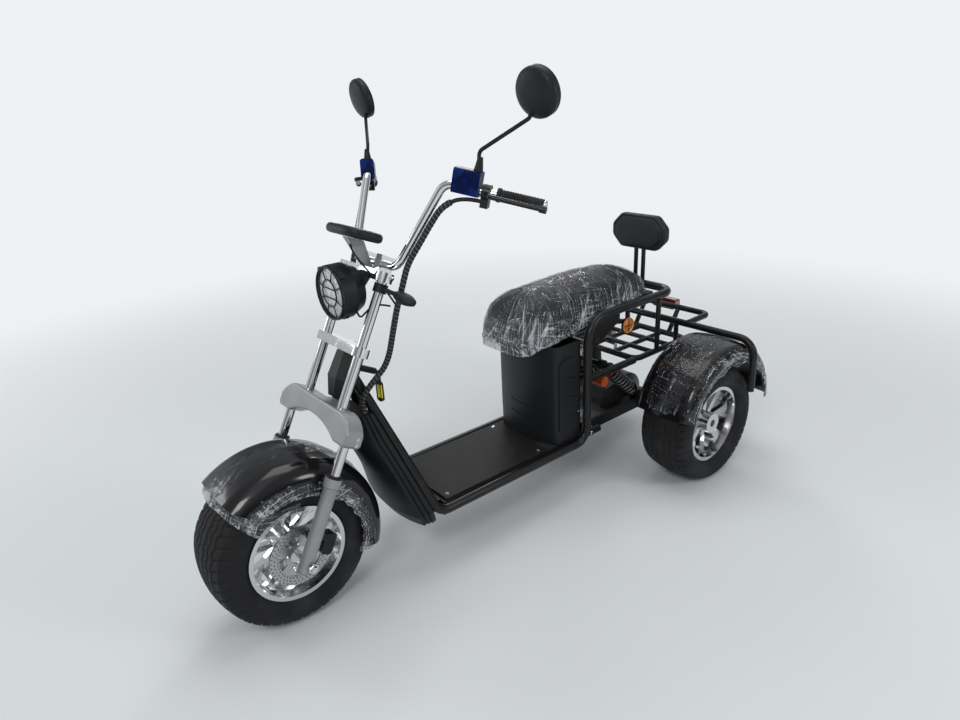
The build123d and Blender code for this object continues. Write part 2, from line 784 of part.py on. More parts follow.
with BuildPart() as dash_bracket:
    dash_foot = dash_at - dash_up * (dash_t / 2 + fit)
    clamp_head = at_fork(0, top_clamp_low + top_clamp_t, -fork_lead)
    with BuildSketch(Plane.YZ.offset(-13)):
        with BuildLine():
            Polyline(
                (dash_foot.Y - 24, dash_foot.Z + 9.4), (dash_foot.Y + 24, dash_foot.Z - 9.4),
                (clamp_head.Y + 12, clamp_head.Z - 6.2), (clamp_head.Y - 12, clamp_head.Z + 6.4), close=True,
            )
        make_face()
    extrude(amount=26)
write(dash_bracket, "dash_bracket")

# Turn signals on stalks from the upper tubes
signal_along = top_clamp_low - 15.0
with BuildPart() as signals:
    for side in (-1, 1):
        with BuildSketch(fork_plane.offset(signal_along - 14)):
            with Locations((side * upper_tube_lat, -fork_lead)):
                Circle(fork_tube_r + 5)
                Circle(fork_tube_r + fit, mode=Mode.SUBTRACT)
        extrude(amount=24)
        root = at_fork(side * (upper_tube_lat + fork_tube_r + 3), signal_along - 2, -fork_lead)
        tip = root + Vector(side * 34, 14, -10)
        add(rod([root, tip], 6.0))
        body = Plane(origin=tip, x_dir=(0, 1, 0), z_dir=Vector(side * 0.93, 0.25, -0.27))
        with BuildSketch(body.offset(-4)):
            Ellipse(8, 7)
        with BuildSketch(body.offset(26)):
            Ellipse(20, 14)
        with BuildSketch(body.offset(62)):
            Ellipse(9, 8)
        loft()
write(signals, "front_signals")

# Brake caliper on the left slider, with a slot for the disc
caliper_half = 17.0
with BuildPart() as caliper:
    with BuildSketch(Plane(origin=front_axle + Vector(front_disc_lat - caliper_half, 0, 0), x_dir=fork_rear,
                           z_dir=(1, 0, 0))):
        with Locations((66, 40)):
            RectangleRounded(34, 60, 10)
        with Locations((32, 58)):
            Rectangle(60, 16)
    extrude(amount=2 * caliper_half)
    with BuildSketch(Plane(origin=front_axle + Vector(front_disc_lat - front_disc_t / 2 - 2, 0, 0), x_dir=(0, 1, 0),
                           z_dir=(1, 0, 0))):
        Circle(front_disc_r + 3)
    extrude(amount=front_disc_t + 4, mode=Mode.SUBTRACT)
    with BuildSketch(Plane(origin=front_axle + Vector(front_disc_lat - caliper_half, 0, 0), x_dir=fork_rear,
                           z_dir=(1, 0, 0))):
        Circle(54)
    extrude(amount=caliper_half - front_disc_t / 2 - 2, mode=Mode.SUBTRACT)
    with BuildSketch(fork_plane.offset(54)):
        with Locations(((lower_tube_lat - slider_r + front_disc_lat + caliper_half) / 2, 4)):
            Rectangle(lower_tube_lat - slider_r - front_disc_lat - caliper_half + 14, 22)
    extrude(amount=16)
    with BuildSketch(fork_plane.offset(40)):
        with Locations((lower_tube_lat, -fork_lead)):
            Circle(slider_r + fit)
    extrude(amount=60, mode=Mode.SUBTRACT)
write(caliper, "front_caliper")

# Front mudguard: an arched shell turned part of the way round the wheel, on two stays
with BuildPart() as front_guard:
    edge_r = front_guard_r - front_guard_skirt
    with BuildSketch(wheel_plane(0, front_axle)):
        add(arch(front_guard_half, edge_r, front_guard_r, front_guard_crown, front_guard_round))
        add(arch(front_guard_half - front_guard_wall, edge_r - front_guard_wall, front_guard_r - front_guard_wall,
                 front_guard_crown, front_guard_round - front_guard_wall), mode=Mode.SUBTRACT)
    revolve(axis=Axis(front_axle, (-1, 0, 0)), revolution_arc=front_guard_end - front_guard_start)
    front_guard.part = front_guard.part.rotate(Axis(front_axle, (1, 0, 0)), 90 - front_guard_start)
    for side in (-1, 1):
        boss_root = at_fork(side * (front_guard_half - front_guard_wall), guard_boss_along, -fork_lead)
        with BuildSketch(Plane(origin=boss_root, x_dir=(0, 1, 0), z_dir=(side, 0, 0))):
            Circle(guard_boss_r)
        extrude(amount=lower_tube_lat - front_guard_half)
        with BuildSketch(Plane(origin=at_fork(side * lower_tube_lat, guard_boss_along - 40, -fork_lead), z_dir=fork_up)):
            Circle(slider_r + fit)
        extrude(amount=80, mode=Mode.SUBTRACT)
write(front_guard, "front_mudguard")

# Frame: head tube, the long side rails that meet behind the seat, and cross tubes
head_low = bridge_top + head_gap
head_high = clamp_low - head_gap
head_join = at_fork(head_joint_x, (head_low + head_high) / 2, steer_back + 12)
rail_points = [
    (head_join.X, head_join.Y, head_join.Z),
    (rail_x, rail_front_y, rail_low_z),
    (rail_x, rail_rise_y, rail_low_z),
    (rail_x, rail_rise_y, rail_high_z),
    (rail_x, rail_back_y, rail_high_z),
]
rail_line = rail_points + [(-x, y, z) for x, y, z in reversed(rail_points)]
rail_bends = [rail_front_bend, rail_low_bend, rail_high_bend, rail_back_bend]
rail_bends = rail_bends + rail_bends[::-1]
cross_tube_r = 11.0
cross_back = 2.0
side_tube_r = 13.0
side_tube_in = 20.0
side_tube_over = 24.0
with BuildPart() as main_frame:
    add(rod(rail_line, rail_r, rail_bends))
    with BuildSketch(fork_plane.offset(head_low)):
        with Locations((0, steer_back)):
            Circle(head_tube_r)
    extrude(amount=head_high - head_low)
    with BuildSketch(fork_plane.offset(head_low)):
        with Locations((0, steer_back)):
            Circle(stem_r + running_fit)
    extrude(amount=head_high - head_low, mode=Mode.SUBTRACT)
    add(rod([(-rail_x, rail_rise_y + cross_back, grid_z), (rail_x, rail_rise_y + cross_back, grid_z)], cross_tube_r))
    add(rod([(-rail_x, pivot_y, rear_tyre_r), (rail_x, pivot_y, rear_tyre_r)], cross_tube_r))
    for side in (-1, 1):
        add(rod([(side * rail_x, rail_rise_y - side_tube_in, rear_tyre_r),
                 (side * rail_x, pivot_y + side_tube_over, rear_tyre_r)], side_tube_r))
        add(rod([(side * rail_x, rail_rise_y, grid_z), (side * rail_x, grid_front_y - rack_r - fit, grid_z)],
                side_tube_r))
    for side in (-1, 1):
        with BuildSketch(Plane.YZ.offset(side * rail_x - gusset_t / 2)):
            with BuildLine():
                Polyline(
                    (rail_rise_y, rail_high_z - gusset_drop), (rail_rise_y, rail_high_z - rail_high_bend),
                    (rail_rise_y + rail_high_bend, rail_high_z), (rail_rise_y + gusset_back, rail_high_z),
                    (rail_rise_y + gusset_back, rail_high_z - gusset_tail), close=True,
                )
            make_face()
        extrude(amount=gusset_t)
    shock_bar_y = shock_top[0]
    add(rod([(-rail_x, shock_bar_y, grid_z), (rail_x, shock_bar_y, grid_z)], cross_tube_r))
write(main_frame, "main_frame")

# The plane of the leg shield's back, along the front of the rails
rail_low = Vector(*rail_points[1])
rail_slope = Vector(0, head_join.Y - rail_low.Y, head_join.Z - rail_low.Z).normalized()
shield_len = Vector(0, head_join.Y - rail_low.Y, head_join.Z - rail_low.Z).length
shield_plane = Plane(origin=(0, rail_low.Y, rail_low.Z), x_dir=(1, 0, 0), z_dir=rail_slope)


def shield_back_y(height):
    """How far forward the leg shield's back is at a height."""
    back = shield_plane.origin - shield_plane.y_dir * (rail_r + wall_gap)
    return back.Y + (height - back.Z) * rail_slope.Y / rail_slope.Z


# Floor pan between the rails, with a narrow nose up to the leg shield, and the mat on it
pan_half = rail_x - rail_r - wall_gap
pan_front = rail_front_y + pan_nose_back
with BuildPart() as floor_pan:
    with BuildSketch(Plane.YZ):
        with BuildLine():
            Polyline(
                (rail_rise_y - rail_r - 2, pan_low), (rail_rise_y - rail_r - 2, pan_top), (pan_front, pan_top),
                (pan_front, pan_low), close=True,
            )
        make_face()
    extrude(amount=pan_half, both=True)
    fillet(floor_pan.edges().filter_by(Axis.Y).group_by(Axis.Z)[0], pan_round)
    with BuildSketch(Plane.YZ):
        with BuildLine():
            Polyline(
                (pan_front, pan_low + pan_round), (pan_front, pan_top),
                (shield_back_y(pan_top) + wall_gap, pan_top),
                (shield_back_y(pan_low + pan_round) + wall_gap, pan_low + pan_round), close=True,
            )
        make_face()
    extrude(amount=pan_half - pan_nose_in, both=True)
write(floor_pan, "floor_pan")

# the mat's rear edge runs along the seat box's round front
mat_front = pan_front + mat_front_back
box_front_r = (box_half**2 + box_corner_back**2) / (2 * box_corner_back)
mat_corner_y = box_front + box_front_r - sqrt((box_front_r + mat_gap) ** 2 - mat_half**2)
with BuildPart() as foot_mat:
    with BuildSketch(Plane.XY.offset(pan_top)):
        with BuildLine():
            Polyline((-mat_half, mat_corner_y), (-mat_half, mat_front), (mat_half, mat_front), (mat_half, mat_corner_y))
            ThreePointArc((mat_half, mat_corner_y), (0, box_front - mat_gap), (-mat_half, mat_corner_y))
        make_face()
    extrude(amount=mat_t)
write(foot_mat, "foot_mat")

# Leg shield: a tapering convex panel in front of the rails, with stepped ridges along its edges and a chin
# each section: share of the way up, half width, depth in the middle, depth where the sides end
shield_sections = [
    (-0.10, 126.0, 36.0, 22.0),
    (-0.05, 152.0, 56.0, 36.0),
    (0.04, 162.0, 66.0, 42.0),
    (0.35, 124.0, 66.0, 38.0),
    (0.62, 92.0, 76.0, 40.0),
    (0.80, 70.0, 40.0, 28.0),
]
with BuildPart() as leg_shield:
    for share, half, depth, side_depth in shield_sections:
        with BuildSketch(shield_plane.offset(share * shield_len)):
            rear = -(rail_r + wall_gap)
            edge = [(half, rear)]
            for ridge in range(1, shield_ridges + 1):
                step = rear - side_depth * ridge / (shield_ridges + 1)
                edge.append((half - (ridge - 1) * ridge_in, step))
                edge.append((half - ridge * ridge_in, step))
            edge.append((half - shield_ridges * ridge_in, rear - side_depth))
            with BuildLine():
                Polyline(*[(-x, y) for x, y in reversed(edge)], *edge)
                ThreePointArc(edge[-1], (0, rear - depth), (-edge[-1][0], edge[-1][1]))
            make_face()
    loft(ruled=True)
write(leg_shield, "leg_shield")

# Head cowl: a faceted cover round the head tube
cowl_back = 6.0
cowl_sections = [(head_low + 6, 30.0, 34.0, 16.0), (head_low + 60, 44.0, 50.0, 22.0), (head_high - 4, 40.0, 48.0, 22.0)]
with BuildPart() as head_cowl:
    for along, half, ahead, chamfer_w in cowl_sections:
        with BuildSketch(fork_plane.offset(along)):
            with BuildLine():
                Polyline(
                    (-half, steer_back + cowl_back), (half, steer_back + cowl_back), (half, steer_back - ahead + chamfer_w),
                    (half - chamfer_w, steer_back - ahead), (-half + chamfer_w, steer_back - ahead),
                    (-half, steer_back - ahead + chamfer_w), close=True,
                )
            make_face()
    loft(ruled=True)
    with BuildSketch(fork_plane.offset(head_low)):
        with Locations((0, steer_back)):
            Circle(head_tube_r + fit)
    extrude(amount=head_high - head_low, mode=Mode.SUBTRACT)
    add(rod(rail_line, rail_r + fit, rail_bends), mode=Mode.SUBTRACT)
write(head_cowl, "head_cowl")

# Seat box: a convex-fronted shell, open at the top under the seat, with the battery in it
# columns: height of each scallop's lower edge, how far it reaches forward
scallops = [(446.0, 62.0), (376.0, 50.0), (306.0, 38.0)]
louvres = [332.0, 290.0, 248.0]
with BuildPart() as seat_box:
    with BuildSketch(Plane.XY.offset(pan_top + fit)):
        with BuildLine():
            Polyline(
                (-box_half, box_front + box_corner_back), (-box_half, box_rear), (box_half, box_rear),
                (box_half, box_front + box_corner_back),
            )
            ThreePointArc(
                (box_half, box_front + box_corner_back), (0, box_front), (-box_half, box_front + box_corner_back)
            )
        make_face()
    extrude(amount=box_top - pan_top - fit)
    fillet(seat_box.edges().filter_by(Axis.Z).group_by(Axis.Y)[0], box_edge_r)
    offset(amount=-box_wall, openings=seat_box.faces().sort_by(Axis.Z)[-1])
    for side in (-1, 1):
        with BuildSketch(Plane(origin=(side * box_half, 0, 0), x_dir=(0, 1, 0), z_dir=(side, 0, 0))):
            panel_mid = side * (panel_low + panel_high) / 2
            with Locations(((box_front + panel_front + box_rear - panel_back) / 2, panel_mid)):
                RectangleRounded(box_rear - panel_back - box_front - panel_front, panel_high - panel_low, panel_round)
            for height, reach in scallops:
                with BuildLine():
                    Polyline(
                        (box_rear, side * (height - scallop_h)), (box_rear, side * height),
                        (box_rear - panel_back - reach, side * height), close=True,
                    )
                make_face(mode=Mode.SUBTRACT)
        extrude(amount=panel_t)
    for height in louvres:
        with BuildSketch(Plane.XY.offset(height)):
            with Locations((0, box_front)):
                Rectangle(2 * louvre_half, 2 * box_corner_back)
            with Locations((0, box_front + box_front_r)):
                Circle(box_front_r - louvre_t, mode=Mode.SUBTRACT)
        extrude(amount=louvre_h, mode=Mode.SUBTRACT)
    for side in (-1, 1):
        with BuildSketch(Plane.YZ.offset(side * hinge_x - hinge_lug_w / 2)):
            with BuildLine():
                Polyline(
                    (box_front + box_wall, seat_hinge_z - 30), (seat_hinge_y, seat_hinge_z - hinge_lug_r),
                    (seat_hinge_y, seat_hinge_z + hinge_lug_r - 3), (box_front + box_wall, seat_hinge_z + hinge_lug_r - 3),
                    close=True,
                )
            make_face()
        extrude(amount=hinge_lug_w)
    with BuildSketch(Plane.YZ.offset(-box_half)):
        with Locations((seat_hinge_y, seat_hinge_z)):
            Circle(hinge_pin_r + fit)
    extrude(amount=2 * box_half, mode=Mode.SUBTRACT)
write(seat_box, "seat_box")

battery_w = 240.0
battery_d = 96.0
battery_h = 300.0
battery_gap = 4.0
battery_corner = 8.0
battery_low = pan_top + fit + box_wall
with BuildPart() as battery:
    with BuildSketch(Plane.XY.offset(battery_low)):
        with Locations((0, box_rear - box_wall - battery_gap - battery_d / 2)):
            RectangleRounded(battery_w, battery_d, battery_corner)
    extrude(amount=battery_h)
write(battery, "battery")

# Seat base: a bent pan with two hinge knuckles at its front
base_line = [
    (seat_front + base_front_in, base_z), (base_kink_y, base_z + base_kink_rise),
    (base_level_y, base_z + base_level_rise), (seat_rear - base_rear_in, base_z + base_rear_rise),
]
with BuildPart() as seat_base:
    with BuildSketch(Plane.YZ.offset(-base_half)):
        with BuildLine():
            Polyline(*base_line, *[(y, z + base_t) for y, z in reversed(base_line)], close=True)
        make_face()
    extrude(amount=2 * base_half)
    for side in (-1, 1):
        knuckle_x = side * (hinge_x + hinge_lug_w + 1)
        with BuildSketch(Plane.YZ.offset(knuckle_x - hinge_lug_w / 2)):
            with Locations((seat_hinge_y, seat_hinge_z)):
                Circle(hinge_lug_r)
            with Locations((seat_hinge_y, seat_hinge_z + hinge_lug_r + 2)):
                Rectangle(2 * hinge_lug_r, 2 * hinge_lug_r)
        extrude(amount=hinge_lug_w)
    with BuildSketch(Plane.YZ.offset(-base_half)):
        with Locations((seat_hinge_y, seat_hinge_z)):
            Circle(hinge_pin_r + fit)
    extrude(amount=2 * base_half, mode=Mode.SUBTRACT)
write(seat_base, "seat_base")

with BuildPart() as hinge_pin:
    with BuildSketch(Plane.YZ.offset(-hinge_x - 2 * hinge_lug_w)):
        with Locations((seat_hinge_y, seat_hinge_z)):
            Circle(hinge_pin_r)
    extrude(amount=2 * hinge_x + 4 * hinge_lug_w)
write(hinge_pin, "seat_hinge_pin")

# Seat cushion: sections from the nose to the tail over the base
# each section: y, half width, low edge, shoulder, top
seat_sections = [
    (seat_front, seat_half - 76.0, base_z + 26.0, base_z + 56.0, base_z + 78.0),
    (seat_front + 60, seat_half - 26.0, base_z + 22.0, base_z + 90.0, base_z + 142.0),
    (seat_front + 250, seat_half, base_z + 48.0, base_z + 98.0, base_z + 161.0),
    (seat_rear - 190, seat_half, base_z + 70.0, base_z + 106.0, base_z + 163.0),
    (seat_rear - 40, seat_half - 26.0, base_z + 70.0, base_z + 98.0, base_z + 128.0),
    (seat_rear, seat_half - 54.0, base_z + 72.0, base_z + 86.0, base_z + 98.0),
]
with BuildPart() as seat_cushion:
    for y, half, low, shoulder, top in seat_sections:
        with BuildSketch(Plane(origin=(0, y, 0), x_dir=(1, 0, 0), z_dir=(0, -1, 0))):
            with BuildLine():
                Polyline((-half + 4, shoulder), (-half, low), (half, low), (half - 4, shoulder))
                ThreePointArc((half - 4, shoulder), (0, top), (-half + 4, shoulder))
            make_face()
    loft(ruled=True)
    with BuildSketch(Plane.YZ.offset(-2 * seat_half)):
        with BuildLine():
            Polyline(
                (seat_front - seat_trim, base_z + base_t + fit), *[(y, z + base_t + fit) for y, z in base_line],
                (seat_rear + seat_trim, base_z + base_rear_rise + base_t + fit),
                (seat_rear + seat_trim, base_z - seat_trim), (seat_front - seat_trim, base_z - seat_trim), close=True,
            )
        make_face()
    extrude(amount=4 * seat_half, mode=Mode.SUBTRACT)
write(seat_cushion, "seat_cushion")

# Backrest: an eight-sided pad on two posts from the frame's rear loop
pad_y = rail_back_y - pad_ahead
with BuildPart() as backrest_pad:
    with BuildSketch(Plane(origin=(0, pad_y, pad_z), x_dir=(1, 0, 0), z_dir=(0, 1, 0))):
        Rectangle(2 * pad_half, pad_height)
        chamfer(vertices(), pad_corner)
    extrude(amount=pad_t)
write(backrest_pad, "backrest_pad")

with BuildPart() as backrest_posts:
    post_y = rail_back_y + post_back
    for side in (-1, 1):
        add(rod([(side * post_x, post_y, rail_high_z + rail_r + fit), (side * post_x, post_y, pad_z - pad_height / 2 - fit)],
                post_r))
write(backrest_posts, "backrest_posts")

# Rear rack: the hoop over both mudguards, the top rail, the grid and its posts
hoop_x = rear_half_track + guard_half + hoop_r + hoop_gap
rack_post_y = grid_front_y + rack_post_back
with BuildPart() as rear_rack:
    hoop_half = [(hoop_x, hoop_y, hoop_end_z), (hoop_x, hoop_y, hoop_z)]
    add(rod(hoop_half + [(-x, y, z) for x, y, z in reversed(hoop_half)], hoop_r, hoop_bend))
    top_half = [(rack_top_x, hoop_y, hoop_z + top_rise), (rack_top_x, rack_back_y, rack_top_z)]
    add(rod(top_half + [(-x, y, z) for x, y, z in reversed(top_half)], rack_r, top_bend))
    grid_half = [(0, grid_front_y, grid_z), (grid_x, grid_front_y, grid_z), (grid_x, grid_back_y, grid_z), (0, grid_back_y, grid_z)]
    for side in (-1, 1):
        add(rod([(side * x, y, z) for x, y, z in grid_half], rack_r, grid_bend))
    for y in (grid_front_y + grid_pitch, grid_front_y + 2 * grid_pitch):
        add(rod([(-grid_x, y, grid_z), (grid_x, y, grid_z)], rack_bar_r))
    for x in (-grid_x / 3, grid_x / 3):
        add(rod([(x, grid_front_y, grid_z), (x, grid_back_y, grid_z)], rack_bar_r))
    for side in (-1, 1):
        add(rod([(side * grid_x, hoop_y, grid_z), (side * grid_x, hoop_y, hoop_z)], rack_bar_r))
        add(rod([(side * grid_x / 2, grid_back_y, grid_z), (side * grid_x / 2, rack_back_y, rack_top_z)], rack_bar_r))
        add(rod([(side * grid_x, rack_post_y, grid_z), (side * grid_x, rack_post_y, rail_high_z - rail_r - fit)],
                rack_bar_r))
write(rear_rack, "rear_rack")

# Rear mudguards: arched shells turned about an axis above and behind the axle
guard_axis = rear_axle + Vector(0, guard_back, guard_lift)
for name, side in (("mudguard_left", 1), ("mudguard_right", -1)):
    with BuildPart() as guard:
        with BuildSketch(wheel_plane(side * rear_half_track, guard_axis)):
            edge_r = guard_r - guard_skirt
            add(arch(guard_half, edge_r, guard_r, guard_crown, guard_round))
            add(arch(guard_half - guard_wall, edge_r - guard_wall, guard_r - guard_wall, guard_crown,
                     guard_round - guard_wall), mode=Mode.SUBTRACT)
        revolve(axis=Axis(guard_axis, (1, 0, 0)), revolution_arc=guard_front_angle - guard_rear_angle)
        guard.part = guard.part.rotate(Axis(guard_axis, (1, 0, 0)), -(90 - guard_rear_angle))
    write(guard, name)

# Rear axle: differential and motor between two axle tubes, with the half shafts
with BuildPart() as rear_axle_unit:
    with BuildSketch(wheel_plane(0, rear_axle)):
        with BuildLine():
            Polyline(
                (-axle_tube_half, 0), (-axle_tube_half, axle_tube_r), (-diff_half, axle_tube_r),
                (-diff_half * 0.6, diff_r), (diff_half * 0.6, diff_r), (diff_half, axle_tube_r),
                (axle_tube_half, axle_tube_r), (axle_tube_half, 0), close=True,
            )
        make_face()
    revolve(axis=Axis(rear_axle, (1, 0, 0)))
    with BuildSketch(Plane.YZ.offset(-motor_len / 2)):
        with Locations((motor_y, motor_z)):
            Circle(motor_r)
    extrude(amount=motor_len)
    shaft_end = rear_half_track + rear_bead_half
    with BuildSketch(Plane.YZ.offset(-shaft_end)):
        with Locations((rear_axle_y, rear_tyre_r)):
            Circle(half_shaft_r)
    extrude(amount=2 * shaft_end)
write(rear_axle_unit, "rear_axle")

# Shock absorbers: a damper with an eye at each end, a coil spring and a side reservoir
shock_foot = rear_axle - (rear_axle - Vector(0, *shock_top)).normalized() * (saddle_r + foot_eye_r + eye_gap)
shock_line = shock_foot - Vector(0, *shock_top)
shock_way = shock_line.normalized()
shock_len = shock_line.length
shock_head = Vector(0, *shock_top)
shock_side = Vector(1, 0, 0).cross(shock_way)
with BuildPart() as shocks:
    for side in (-1, 1):
        head = shock_head + Vector(side * shock_x, 0, 0)
        add(rod([head, head + shock_way * shock_len], shock_body_r))
        for seat in (spring_seat_top, shock_len - spring_seat_foot):
            with BuildSketch(Plane(origin=head + shock_way * seat, z_dir=shock_way)):
                Circle(spring_r)
            extrude(amount=spring_seat_t)
        with BuildSketch(Plane.YZ.offset(side * shock_x - eye_w / 2)):
            with Locations(shock_top):
                Circle(head_eye_r)
            with Locations((shock_foot.Y, shock_foot.Z)):
                Circle(foot_eye_r)
        extrude(amount=eye_w)
        for sign in (-1, 1):
            with BuildSketch(Plane.YZ.offset(side * shock_x + sign * eye_w / 2)):
                with Locations((shock_foot.Y, shock_foot.Z)):
                    Circle(foot_eye_r + 2)
            extrude(amount=sign * eye_w, mode=Mode.SUBTRACT)
        with BuildSketch(Plane.YZ.offset(side * shock_x - 2 * eye_w)):
            with Locations(shock_top):
                Circle(cross_tube_r + fit)
            with Locations((shock_foot.Y, shock_foot.Z)):
                Circle(foot_pin_r + fit)
        extrude(amount=4 * eye_w, mode=Mode.SUBTRACT)
write(shocks, "shock_dampers")

with BuildPart() as reservoirs:
    for side in (-1, 1):
        root = shock_head + Vector(side * shock_x, 0, 0) + shock_way * reservoir_root
        centre = root - shock_side * reservoir_off
        with BuildSketch(Plane(origin=centre - Vector(reservoir_len / 2, 0, 0), x_dir=(0, 1, 0), z_dir=(1, 0, 0))):
            Circle(reservoir_r)
        extrude(amount=reservoir_len)
        add(rod([root - shock_side * (shock_body_r + fit), centre], reservoir_neck_r))
write(reservoirs, "shock_reservoirs")

with BuildPart() as springs:
    for side in (-1, 1):
        top = shock_head + Vector(side * shock_x, 0, 0) + shock_way * (spring_seat_top + spring_seat_t + fit)
        spring_len = shock_len - spring_seat_foot - spring_seat_top - spring_seat_t - 2 * fit
        with BuildSketch(Plane(origin=top, x_dir=(1, 0, 0), z_dir=shock_side)):
            with BuildLine():
                pitch = spring_len / spring_turns
                inner = shock_body_r + fit
                crest = spring_r
                zig = []
                for turn in range(spring_turns):
                    zig.append((crest, turn * pitch + pitch * 0.15))
                    zig.append((crest, turn * pitch + pitch * 0.55))
                    zig.append((inner + 5, turn * pitch + pitch * 0.70))
                    zig.append((inner + 5, turn * pitch + pitch * 1.0))
                Polyline((inner, 0), (crest - 4, 0), *zig, (inner, spring_len), close=True)
            make_face()
        revolve(axis=Axis(top, shock_way))
write(springs, "shock_springs")

# Swing arm: two arms from the pivot tube to saddles on the axle tubes
with BuildPart() as swing_arm:
    for side in (-1, 1):
        with BuildSketch(Plane.YZ.offset(side * arm_x - arm_w / 2)):
            with BuildLine():
                Polyline(
                    (pivot_y - 20, rear_tyre_r - arm_h / 2), (rear_axle_y + 40, rear_tyre_r - arm_h / 2),
                    (rear_axle_y + 40, rear_tyre_r + arm_h / 2), (pivot_y - 20, rear_tyre_r + arm_h / 2), close=True,
                )
            make_face()
            with Locations((rear_axle_y, rear_tyre_r)):
                Circle(saddle_r)
            with Locations((rear_axle_y, rear_tyre_r)):
                Circle(axle_tube_r + fit, mode=Mode.SUBTRACT)
            with Locations((pivot_y, rear_tyre_r)):
                Circle(cross_tube_r + fit, mode=Mode.SUBTRACT)
        extrude(amount=arm_w)
    for side in (-1, 1):
        for face in (-1, 1):
            with BuildSketch(Plane.YZ.offset(side * shock_x + face * (eye_w / 2 + fit))):
                with BuildLine():
                    Polyline(
                        (shock_foot.Y - foot_eye_r, rear_tyre_r), (shock_foot.Y + foot_eye_r, rear_tyre_r),
                        (shock_foot.Y + foot_eye_r, shock_foot.Z), (shock_foot.Y - foot_eye_r, shock_foot.Z), close=True,
                    )
                make_face()
                with Locations((shock_foot.Y, shock_foot.Z)):
                    Circle(foot_eye_r)
            extrude(amount=face * (arm_w - eye_w - 2 * fit) / 2)
        with BuildSketch(Plane.YZ.offset(side * shock_x - arm_w / 2)):
            with Locations((shock_foot.Y, shock_foot.Z)):
                Circle(foot_pin_r)
        extrude(amount=arm_w)
write(swing_arm, "swing_arm")

# Tail lamp behind the rack and round reflectors under the side rails
tail_w = 110.0
tail_h = 42.0
tail_d = 40.0
tail_corner = 12.0
tail_draft = 8.0
with BuildPart() as tail_lamp:
    with BuildSketch(Plane(origin=(0, rack_back_y + rack_r + fit, rack_top_z), x_dir=(1, 0, 0), z_dir=(0, 1, 0))):
        RectangleRounded(tail_w, tail_h, tail_corner)
    extrude(amount=tail_d, taper=tail_draft)
write(tail_lamp, "tail_lamp")

reflector_r = 28.0
reflector_t = 8.0
reflector_y = rear_axle_y - 166.0
reflector_below = 68.0
reflector_z = rail_high_z - reflector_below
reflector_in = 2.0
reflector_strap = 16.0
with BuildPart() as reflectors:
    for side in (-1, 1):
        with BuildSketch(Plane(origin=(side * (rail_x - reflector_in), reflector_y, reflector_z), x_dir=(0, side, 0),
                               z_dir=(side, 0, 0))):
            Circle(reflector_r)
            with Locations((0, (rail_high_z - rail_r - reflector_z) / 2)):
                Rectangle(reflector_strap, rail_high_z - rail_r - fit - reflector_z)
        extrude(amount=reflector_t)
write(reflectors, "side_reflectors")

# Wiring looms: wrapped tubes along the bar's rises. The left one crosses from the steering to the leg shield.
loom_r = 8.5
loom_bar_gap = 2.0
loom_gap_along = 588.0
loom_run = 50.0
loom_drop = 45.0
# columns: across, up along the fork, back from it
loom_rise = [
    (192.0, 984.0, 27.0), (174.0, 940.0, 24.5), (156.0, 879.0, 22.0), (133.0, 819.0, 22.0),
]
loom_fall = [(131.0, 762.0, 30.0), (125.0, 708.0, 38.0)]
loom_cross = [(108.0, 650.0, 60.0), (76.0, 552.0, 101.0)]
loom_low = [(68.0, 494.0, 80.0)]
loom_back = [(131.0, 770.0, 28.0), (108.0, 742.0, 36.0), (72.0, 732.0, 28.0), (46.0, 730.0, 8.0)]


def open_bends(points):
    """Bend radii as large as the runs beside each corner allow."""
    places = [Vector(*point) for point in points]
    bends = []
    for before, corner, after in zip(places, places[1:], places[2:]):
        run_in = corner - before
        run_out = after - corner
        turn = run_in.get_angle(run_out)
        bends.append(0.45 * min(run_in.length, run_out.length) / tan(radians(turn / 2)))
    return bends


def loom_start(side):
    """The first two places of a loom: out of its lever's perch and along under the switch box."""
    box_up = Plane(origin=(0, 0, 0), x_dir=(0, 0, 1), z_dir=bar_way(side)).x_dir
    drop = switch_h - switch_top + loom_r + wall_gap
    perch_face = perch_from_end + perch_len - perch_lap + fit
    return [on_bar(side, perch_face + run) - box_up * drop for run in (0, loom_run)]


shield_top = shield_plane.offset(shield_sections[-1][0] * shield_len + fit)
loom_foot = shield_top.from_local_coords(Vector(52.0, -(rail_r + wall_gap + loom_r + 5), 0))
lamp_entry = at_fork(-46.0, 730.0, 8.0)
lamp_end = Vector(lamp_entry.X, lamp_y + lamp_depth + fit, lamp_entry.Z)
loom_right = [(-x, along, back) for x, along, back in loom_rise + loom_back]
looms = [
    ("loom_left", loom_start(1) + [at_fork(*row) for row in loom_rise + loom_fall + loom_cross], Keep.TOP),
    ("loom_shield", [at_fork(*row) for row in loom_cross + loom_low] + [loom_foot + rail_slope * loom_drop, loom_foot],
     Keep.BOTTOM),
    ("loom_lamp", loom_start(-1) + [at_fork(*row) for row in loom_right] + [lamp_end], None),
]
for name, points, keep in looms:
    bends = open_bends(points)
    print(name, "bend radii", [round(bend) for bend in bends])
    with BuildPart() as loom:
        add(rod(points, loom_r, bends))
        if keep:
            gap = fit / 2 if keep == Keep.TOP else -fit / 2
            split(bisect_by=fork_plane.offset(loom_gap_along + gap), keep=keep)
    write(loom, name)

